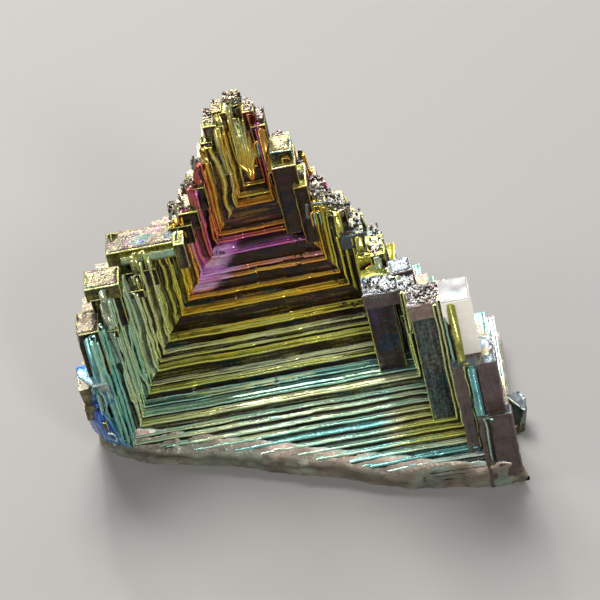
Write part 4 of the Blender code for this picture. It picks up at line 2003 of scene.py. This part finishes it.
@dataclass(frozen=True)
class WallLoops:
    """Tube-like ribs that climb the left wall and close in loops under the arm's top."""

    frames: tuple[Frame, ...]
    tops: tuple[float, ...]
    count: int = 36
    shortest: float = 1.6
    proud: float = 0.18
    radius: Pair = (0.12, 0.19)
    rises: tuple[float, ...] = (0.0, 0.22, 0.24, 0.5, 0.52, 0.8, 1.0)
    kink: float = 0.14
    margin: float = 0.1
    seed: int = 71

    def ridges(self) -> list[Ridge]:
        """The loops' ridges, one loop for each ledge that is wide enough.

        Returns:
            The ridges, from the tip outwards.
        """
        draw = np.random.default_rng(self.seed)
        made = []
        for level in range(min(self.count, len(self.frames) - 1)):
            here, after = self.frames[level], self.frames[level + 1]
            foot, top = here.floor + 0.2, self.tops[level] - draw.uniform(0.1, 1.4)
            if top < foot + self.shortest:
                continue
            near, far = here.out + 0.1, max(after.out - 0.05, here.out + 0.55)
            depth = -here.floor
            film = float(np.interp(depth, LEFT_DEPTHS, LEFT_FILMS)) + draw.uniform(-0.05, 0.05)
            wall = here.left + self.proud
            rise = [foot + part * (top - foot) for part in self.rises]
            kinks = np.cumsum(draw.uniform(-self.kink, self.kink, len(rise)))
            path = [(wall + 0.4 * kink, near + kink, up) for kink, up in zip(kinks, rise)]
            path += [(wall + 0.05, (near + far) / 2.0 + kinks[-1], top + 0.12)]
            path += [(wall + 0.3 * kink, far + kink, up) for kink, up in zip(kinks[::-1], rise[::-1])]
            made.append(Ridge(tuple(path), draw.uniform(*self.radius), (film, film), shade=-0.1, wave=0.07))
        return made

    def build(self, stance: Matrix, finishes: Finishes) -> None:
        """Makes the loops, inside the rim."""
        piece = build_ridges("left_wall_loops", self.ridges(), self.seed, stance, finishes.wall)
        RimLine().pull_in(piece.data, self.margin)


@dataclass(frozen=True)
class FloorThreads:
    """Thin bright ridges that run along the floor's ledges."""

    frames: tuple[Frame, ...]
    count: int = 130
    first: int = 12
    radius: Pair = (0.045, 0.085)
    length: Pair = (3.0, 17.0)
    parts: tuple[float, ...] = (0.0, 0.3, 0.7, 1.0)
    rim_gap: float = 0.7
    seed: int = 81

    def ridges(self) -> list[Ridge]:
        """The threads, each laid at random on one of the ledges.

        Returns:
            The ridges.
        """
        draw = np.random.default_rng(self.seed)
        made = []
        for _ in range(self.count):
            level = int(draw.integers(self.first, len(self.frames) - 1))
            here, after = self.frames[level], self.frames[level + 1]
            reach = min(draw.uniform(*self.length), here.right - here.left - 1.0)
            start = draw.uniform(here.left + 0.4, here.right - 0.4 - reach)
            share = draw.uniform(0.1, 0.9)
            out = mix(here.out, after.out, share)
            slide = draw.uniform(-0.12, 0.12)
            film = float(np.interp(-here.floor, FLOOR_DEPTHS, FLOOR_FILMS)) + draw.uniform(-0.06, 0.1)
            path = [(start + part * reach, out + part * slide, here.floor + 0.03) for part in self.parts]
            radius, films = draw.uniform(*self.radius), (film, film + 0.03)
            made.append(Ridge(tuple(path), radius, films, shade=-0.2, wave=0.05, sides=5, step=0.4))
        return made

    def build(self, stance: Matrix, finishes: Finishes) -> None:
        """Makes the threads, inside the rim."""
        piece = build_ridges("floor_threads", self.ridges(), self.seed, stance, finishes.ledge)
        RimLine().trim(piece.data, -self.rim_gap)


@dataclass(frozen=True)
class Patch:
    """A stretch that small grains crust: its (low, high) pairs, and the grains' number, sizes and looks."""

    across: Pair
    out: Pair
    count: int
    size: Pair
    film: Pair
    shade: Pair = (0.1, 0.8)


@dataclass(frozen=True)
class Crust:
    """Small cubes that crust the tops of the arms."""

    # The corner numbers of a cube's six sides.
    SIDES = ((0, 1, 3, 2), (4, 6, 7, 5), (0, 4, 5, 1), (2, 3, 7, 6), (0, 2, 6, 4), (1, 5, 7, 3))

    patches: tuple[Patch, ...] = (
        Patch((1.2, 4.2), (-2.6, 0.6), 210, (0.12, 0.3), (0.2, 0.32)),
        Patch((3.0, 8.0), (-1.0, 4.4), 300, (0.12, 0.32), (0.24, 0.7)),
        Patch((6.5, 12.5), (2.5, 8.4), 240, (0.12, 0.3), (0.6, 0.9)),
        Patch((14.4, 17.6), (15.1, 17.8), 150, (0.1, 0.26), (0.2, 0.45)),
        Patch((9.8, 15.0), (10.5, 13.3), 90, (0.1, 0.24), (0.6, 0.8)),
        Patch((-3.4, 0.6), (-2.8, 0.4), 150, (0.12, 0.28), (0.0, 0.12)),
        Patch((-9.0, -4.0), (0.6, 4.2), 110, (0.1, 0.24), (0.1, 0.6)),
    )
    seed: int = 51
    ceiling: float = 20.0
    most_tilt: float = 0.6

    def build(self, solid: BVHTree, stance: Matrix, finishes: Finishes) -> None:
        """Drops the grains on the crystal and reports them.

        Args:
            solid: The solid crystal, on its own axes.
            stance: Where those axes stand.
            finishes: The crystal's finishes.
        """
        draw = np.random.default_rng(self.seed)
        skin = Skin()
        for patch in self.patches:
            for _ in range(patch.count):
                across, out = draw.uniform(*patch.across), draw.uniform(*patch.out)
                hit = solid.ray_cast(place_of(across, out, self.ceiling), DOWN)[0]
                size = draw.uniform(*patch.size)
                angle = draw.uniform(-self.most_tilt, self.most_tilt)
                tilt = Matrix.Rotation(angle, 3, Vector(draw.uniform(-1.0, 1.0, 3)).normalized())
                if hit:
                    centre = np.array([across, out, hit.z / MM + 0.1 * size])
                    film, shade = draw.uniform(*patch.film), draw.uniform(*patch.shade)
                    self.grain(skin, centre, size, np.array(tilt), film, shade)
        link_piece("crust", skin.mesh("crust"), stance, finishes.crust)
        log.info("built crust with %d points", skin.count)

    def grain(
        self, skin: Skin, centre: np.ndarray, size: float, tilt: np.ndarray, film: float, shade: float
    ) -> None:
        """Adds one small cube to a surface.

        Args:
            skin: The surface.
            centre: The cube's centre.
            size: The length of its edges.
            tilt: The matrix that tilts it.
            film: The film's thickness on it.
            shade: How dark it is.
        """
        corners = np.array([(x, y, z) for x in (-1, 1) for y in (-1, 1) for z in (-1, 1)], float)
        placed = centre + 0.5 * size * corners @ tilt.T
        for side in self.SIDES:
            square = placed[list(side)]
            skin.add(square, np.array([[3, 2, 1, 0]]), np.full(4, film), np.full(4, shade))


def smoothed(values: np.ndarray, span: int) -> np.ndarray:
    """The running mean of a line of values, over a span of an odd number of them."""
    return np.convolve(np.pad(values, span // 2, mode="edge"), np.ones(span) / span, "valid")


def middling(values: np.ndarray, span: int) -> np.ndarray:
    """The running median of each column of some values, over a span of an odd number of rows."""
    padded = np.pad(values, ((span // 2, span // 2), (0, 0)), mode="edge")
    return np.median(np.lib.stride_tricks.sliding_window_view(padded, span, axis=0), axis=-1)


@dataclass(frozen=True)
class BrokenRim:
    """The rough broken band under the lowest ledges, laid close over the solid."""

    line: RimLine = RimLine()
    step: float = 0.22
    rows: int = 13
    proud: float = 0.05
    rough: float = 0.16
    crumble: float = 0.22
    reach: float = 4.0
    level: float = 0.15
    highest: float = 5.2
    tallest: float = 3.4
    lowest: float = 0.03
    shortest: float = 0.3
    farthest_in: float = 2.4
    seed: int = 61

    # How far inward and how high each row of the fold over the band's top runs.
    FOLDS = ((0.08, 0.10), (0.2, 0.08), (0.36, -0.2))
    # Over how many columns the line, the tops and the ends are smoothed.
    LINE_SPAN = 9
    TOP_SPANS = (17, 7)
    END_SPAN = 11

    def columns(self) -> tuple[np.ndarray, np.ndarray]:
        """Where the band's columns stand in the shared frame, and which way they face.

        Returns:
            A place and a direction for each column, seen from above.
        """
        corners = self.line.corners()
        lengths = np.concatenate([[0.0], np.cumsum(np.linalg.norm(np.diff(corners, axis=0), axis=1))])
        along = np.arange(0.0, lengths[-1], self.step)
        spots = [np.interp(along, lengths, corners[:, axis]) for axis in range(2)]
        smooth = np.stack([smoothed(line, self.LINE_SPAN) for line in spots], axis=1)
        ahead = np.gradient(smooth, axis=0)
        away = np.stack([ahead[:, 1], -ahead[:, 0]], axis=1)
        return smooth, away / np.linalg.norm(away, axis=1, keepdims=True)

    def ends(self, solid: BVHTree, spot: np.ndarray, away: np.ndarray) -> list[float]:
        """How far outside the rim line the solid ends at each level, up to where it falls back.

        Args:
            solid: The solid crystal in the shared frame.
            spot: The column's place.
            away: Which way it faces.

        Returns:
            The ends, in millimetres, from the lowest level upwards.
        """
        made = []
        for height in self.levels():
            start = Vector((*(spot + self.reach * away), height)) * MM
            hit = solid.ray_cast(start, Vector((*-away, 0.0)))[3]
            if hit is None or self.reach - hit / MM <= -self.farthest_in:
                break
            made.append(self.reach - hit / MM)
        return made

    def levels(self) -> np.ndarray:
        """The heights at which the solid is measured."""
        return np.arange(self.level, self.highest, self.level)

    def laid(
        self, spots: np.ndarray, aways: np.ndarray, ends: list[list[float]], tops: np.ndarray
    ) -> np.ndarray:
        """The band's points before they are roughened.

        Args:
            spots: The columns' places.
            aways: Which way they face.
            ends: The solid's ends at each column.
            tops: The band's top at each column.

        Returns:
            A grid of points in the shared frame, in millimetres.
        """
        talls = np.maximum(np.linspace(0.0, 1.0, self.rows) * tops[:, None], self.lowest)
        levels = self.levels()
        outs = np.zeros(talls.shape)
        for out, tall, end in zip(outs, talls, ends):
            if end:
                out[:] = np.interp(tall, levels[: len(end)], end)
        outs = middling(outs, self.END_SPAN)
        points = np.zeros((len(spots), self.rows + len(self.FOLDS), 3))
        points[:, : self.rows, :2] = spots[:, None] + (outs + self.proud)[..., None] * aways[:, None]
        points[:, : self.rows, 2] = talls
        for row, (inward, lift) in enumerate(self.FOLDS, self.rows):
            points[:, row, :2] = points[:, self.rows - 1, :2] - inward * aways
            points[:, row, 2] = tops + lift
        return points

    def build(self, solid: BVHTree, finishes: Finishes) -> None:
        """Lays the band over the break and reports it.

        Args:
            solid: The solid crystal in the shared frame.
            finishes: The crystal's finishes.
        """
        ripple = Ripple(self.seed)
        spots, aways = self.columns()
        ends = [self.ends(solid, spot, away) for spot, away in zip(spots, aways)]
        tops = np.array([self.levels()[len(end) - 1] if end else 0.0 for end in ends])
        tops = middling(np.minimum(tops, self.tallest)[:, None], self.TOP_SPANS[0])[:, 0]
        tops = smoothed(tops, self.TOP_SPANS[1])
        points = self.laid(spots, aways, ends, tops)
        shares = np.linspace(0.0, 1.0, self.rows)
        noise = ripple.at(points, 1.4) + 0.7 * ripple.at(points, 0.5)
        noise[:, -1] = 0.0
        points[..., :2] += self.rough * noise[..., None] * aways[:, None, :]
        crumb = 0.5 * ripple.at(points + 3.0, 0.45) + 0.5 * ripple.at(points + 9.0, 1.6)
        points[..., 2] += self.crumble * crumb * np.concatenate([shares**2, [1.0, 1.0, 0.0]])
        points[..., 2] = np.maximum(points[..., 2], self.line.lowest)
        held = np.array([bool(end) for end in ends])
        held[1:-1] &= held[:-2] & held[2:]
        kept = (tops > self.shortest) & held
        faces = grid_faces(*points.shape[:2])
        faces = faces[kept[:-1] & kept[1:]].reshape(-1, 4)
        top_edge = np.concatenate([shares, [1.2, 1.2, 1.0]]) ** 3
        film = 0.35 + 0.3 * ripple.at(points, 2.6) + 0.5 * top_edge
        shade = np.clip(0.45 - 0.6 * top_edge + 0.4 * ripple.at(points, 0.8), 0.0, 1.0)
        skin = Skin()
        skin.add(points * np.array([1.0, -1.0, 1.0]), faces, film, shade)
        link_piece("broken_rim", skin.mesh("broken_rim"), Matrix.Identity(4), finishes.rim)
        log.info("built broken_rim with %d columns", len(spots))


@dataclass(frozen=True)
class Lamp:
    """A soft light: the way to it from the crystal, its distance and size in metres, and its watts."""

    name: str
    toward: Triple
    distance: float
    size: Pair
    power: float

    def build(self, aim: Vector) -> None:
        """Makes the light.

        Args:
            aim: The point that it looks at.
        """
        data = bpy.data.lights.new(self.name, "AREA")
        data.shape = "RECTANGLE"
        data.size, data.size_y = self.size
        data.energy = self.power
        light = bpy.data.objects.new(self.name, data)
        away = Vector(self.toward).normalized()
        light.location = aim + away * self.distance
        light.rotation_euler = away.to_track_quat("Z", "Y").to_euler()
        bpy.context.scene.collection.objects.link(light)


@dataclass(frozen=True)
class Studio:
    """The camera, the floor and the lights."""

    camera_place: Triple = (-0.43, -239.67, 208.02)
    pitch: float = math.radians(50.5)
    lens: float = 174.0
    sensor: float = 36.0
    clip: Pair = (0.01, 20.0)
    floor_half: float = 3.0
    floor_tone: Colour = tone(120, 117, 113)
    floor_rough: float = 0.7
    aim: float = 15.0
    sky: Colour = tone(226, 232, 240)
    sky_strength: float = 0.5
    lamps: tuple[Lamp, ...] = (
        Lamp("key_light", (-0.25, 0.55, 0.85), 0.55, (0.30, 0.22), 5.6),
        Lamp("back_light", (0.5, 0.8, 0.45), 0.6, (0.4, 0.25), 1.2),
        Lamp("left_light", (-0.9, -0.25, 0.5), 0.5, (0.16, 0.3), 1.0),
        Lamp("spark_light", (-0.24, 0.76, 0.6), 0.6, (0.05, 0.05), 1.0),
        Lamp("front_light", (0.35, -0.75, 0.6), 0.6, (0.12, 0.12), 2.0),
    )

    def build(self) -> None:
        """Sets up the whole studio."""
        self.camera()
        self.floor()
        for lamp in self.lamps:
            lamp.build(Vector((0.0, 0.0, self.aim)) * MM)
        self.surround()

    def camera(self) -> None:
        """The camera, which looks down at the front funnel."""
        data = bpy.data.cameras.new("camera")
        data.lens = self.lens
        data.sensor_width = self.sensor
        data.clip_start, data.clip_end = self.clip
        camera = bpy.data.objects.new("camera", data)
        camera.location = Vector(self.camera_place) * MM
        camera.rotation_euler = (self.pitch, 0.0, 0.0)
        bpy.context.scene.collection.objects.link(camera)
        bpy.context.scene.camera = camera

    def floor(self) -> None:
        """A wide pale floor."""
        mesh = bmesh.new()
        bmesh.ops.create_grid(mesh, x_segments=1, y_segments=1, size=self.floor_half)
        data = bpy.data.meshes.new("floor")
        mesh.to_mesh(data)
        mesh.free()
        floor = bpy.data.objects.new("floor", data)
        bpy.context.scene.collection.objects.link(floor)
        made = bpy.data.materials.new("pale_floor")
        made.use_nodes = True
        shader = made.node_tree.nodes["Principled BSDF"]
        shader.inputs["Base Color"].default_value = self.floor_tone
        shader.inputs["Roughness"].default_value = self.floor_rough
        data.materials.append(made)

    def surround(self) -> None:
        """The pale light from all around."""
        world = bpy.data.worlds.new("surround")
        world.use_nodes = True
        back = world.node_tree.nodes["Background"]
        back.inputs["Color"].default_value = self.sky
        back.inputs["Strength"].default_value = self.sky_strength
        bpy.context.scene.world = world
        bpy.context.scene.view_settings.view_transform = "Standard"


def main() -> None:
    """Builds the crystal's pieces in order."""
    logging.basicConfig(level=logging.INFO, format="%(message)s")
    Studio().build()
    stance = Stance().matrix()
    finishes = Finishes()
    front = Hopper().front()
    core_maker = Core(stance)
    core = core_maker.build(front, finishes)
    inside = core_maker.tree(core)
    log.info("built core with %d faces", len(core.data.polygons))
    front_skin = FunnelSkin("front", front, 0.0, inside, stance)
    front_skin.build(finishes)
    behind = front_skin.behind
    tops = tuple(front_skin.top_at(here.left - behind, here.out - behind) for here in front)
    WallLoops(tuple(front), tops).build(stance, finishes)
    FloorThreads(tuple(front)).build(stance, finishes)
    Arches().build(stance, finishes)
    BlueRidges().build(stance, finishes)
    for funnel in SIDE_FUNNELS:
        FunnelSkin(
            funnel.name,
            funnel.frames(),
            funnel.turn,
            inside,
            stance,
            floor_columns=60,
            wall_columns=30,
            bead=Bead.FINE,
            behind=0.28,
            short=0.5,
        ).build(finishes)
    fan = TipFan()
    for cluster in (
        Cluster("left_arm_steps", ArmSteps(LEFT_ARM, (0.60, 0.72), (0.1, 0.7)).blocks(), 31),
        Cluster("right_arm_steps", ArmSteps(RIGHT_ARM[:-1], (0.50, 0.80), (0.1, 0.7)).blocks(), 32),
        Cluster("left_cornices", CORNICES, 21),
        Cluster("right_pillars", PILLARS, 22),
        Cluster("pale_blocks", PALE_BLOCKS, 24, Look.PALE),
        Cluster("painted_reflection_block", PAINTED_REFLECTION_BLOCKS, 25, Look.PAINTED_REFLECTION),
        Cluster("tip_crystals", fan.crown(), 23),
    ):
        cluster.build(stance, finishes)
    fan.build(stance, finishes)
    solid = frame["nodes"][NODE].data
    Crust().build(tree_of(solid, stance.inverted()), stance, finishes)
    BrokenRim().build(tree_of(solid, Matrix.Identity(4)), finishes)
    core_maker.finish(core)


if __name__ == "__main__":
    main()
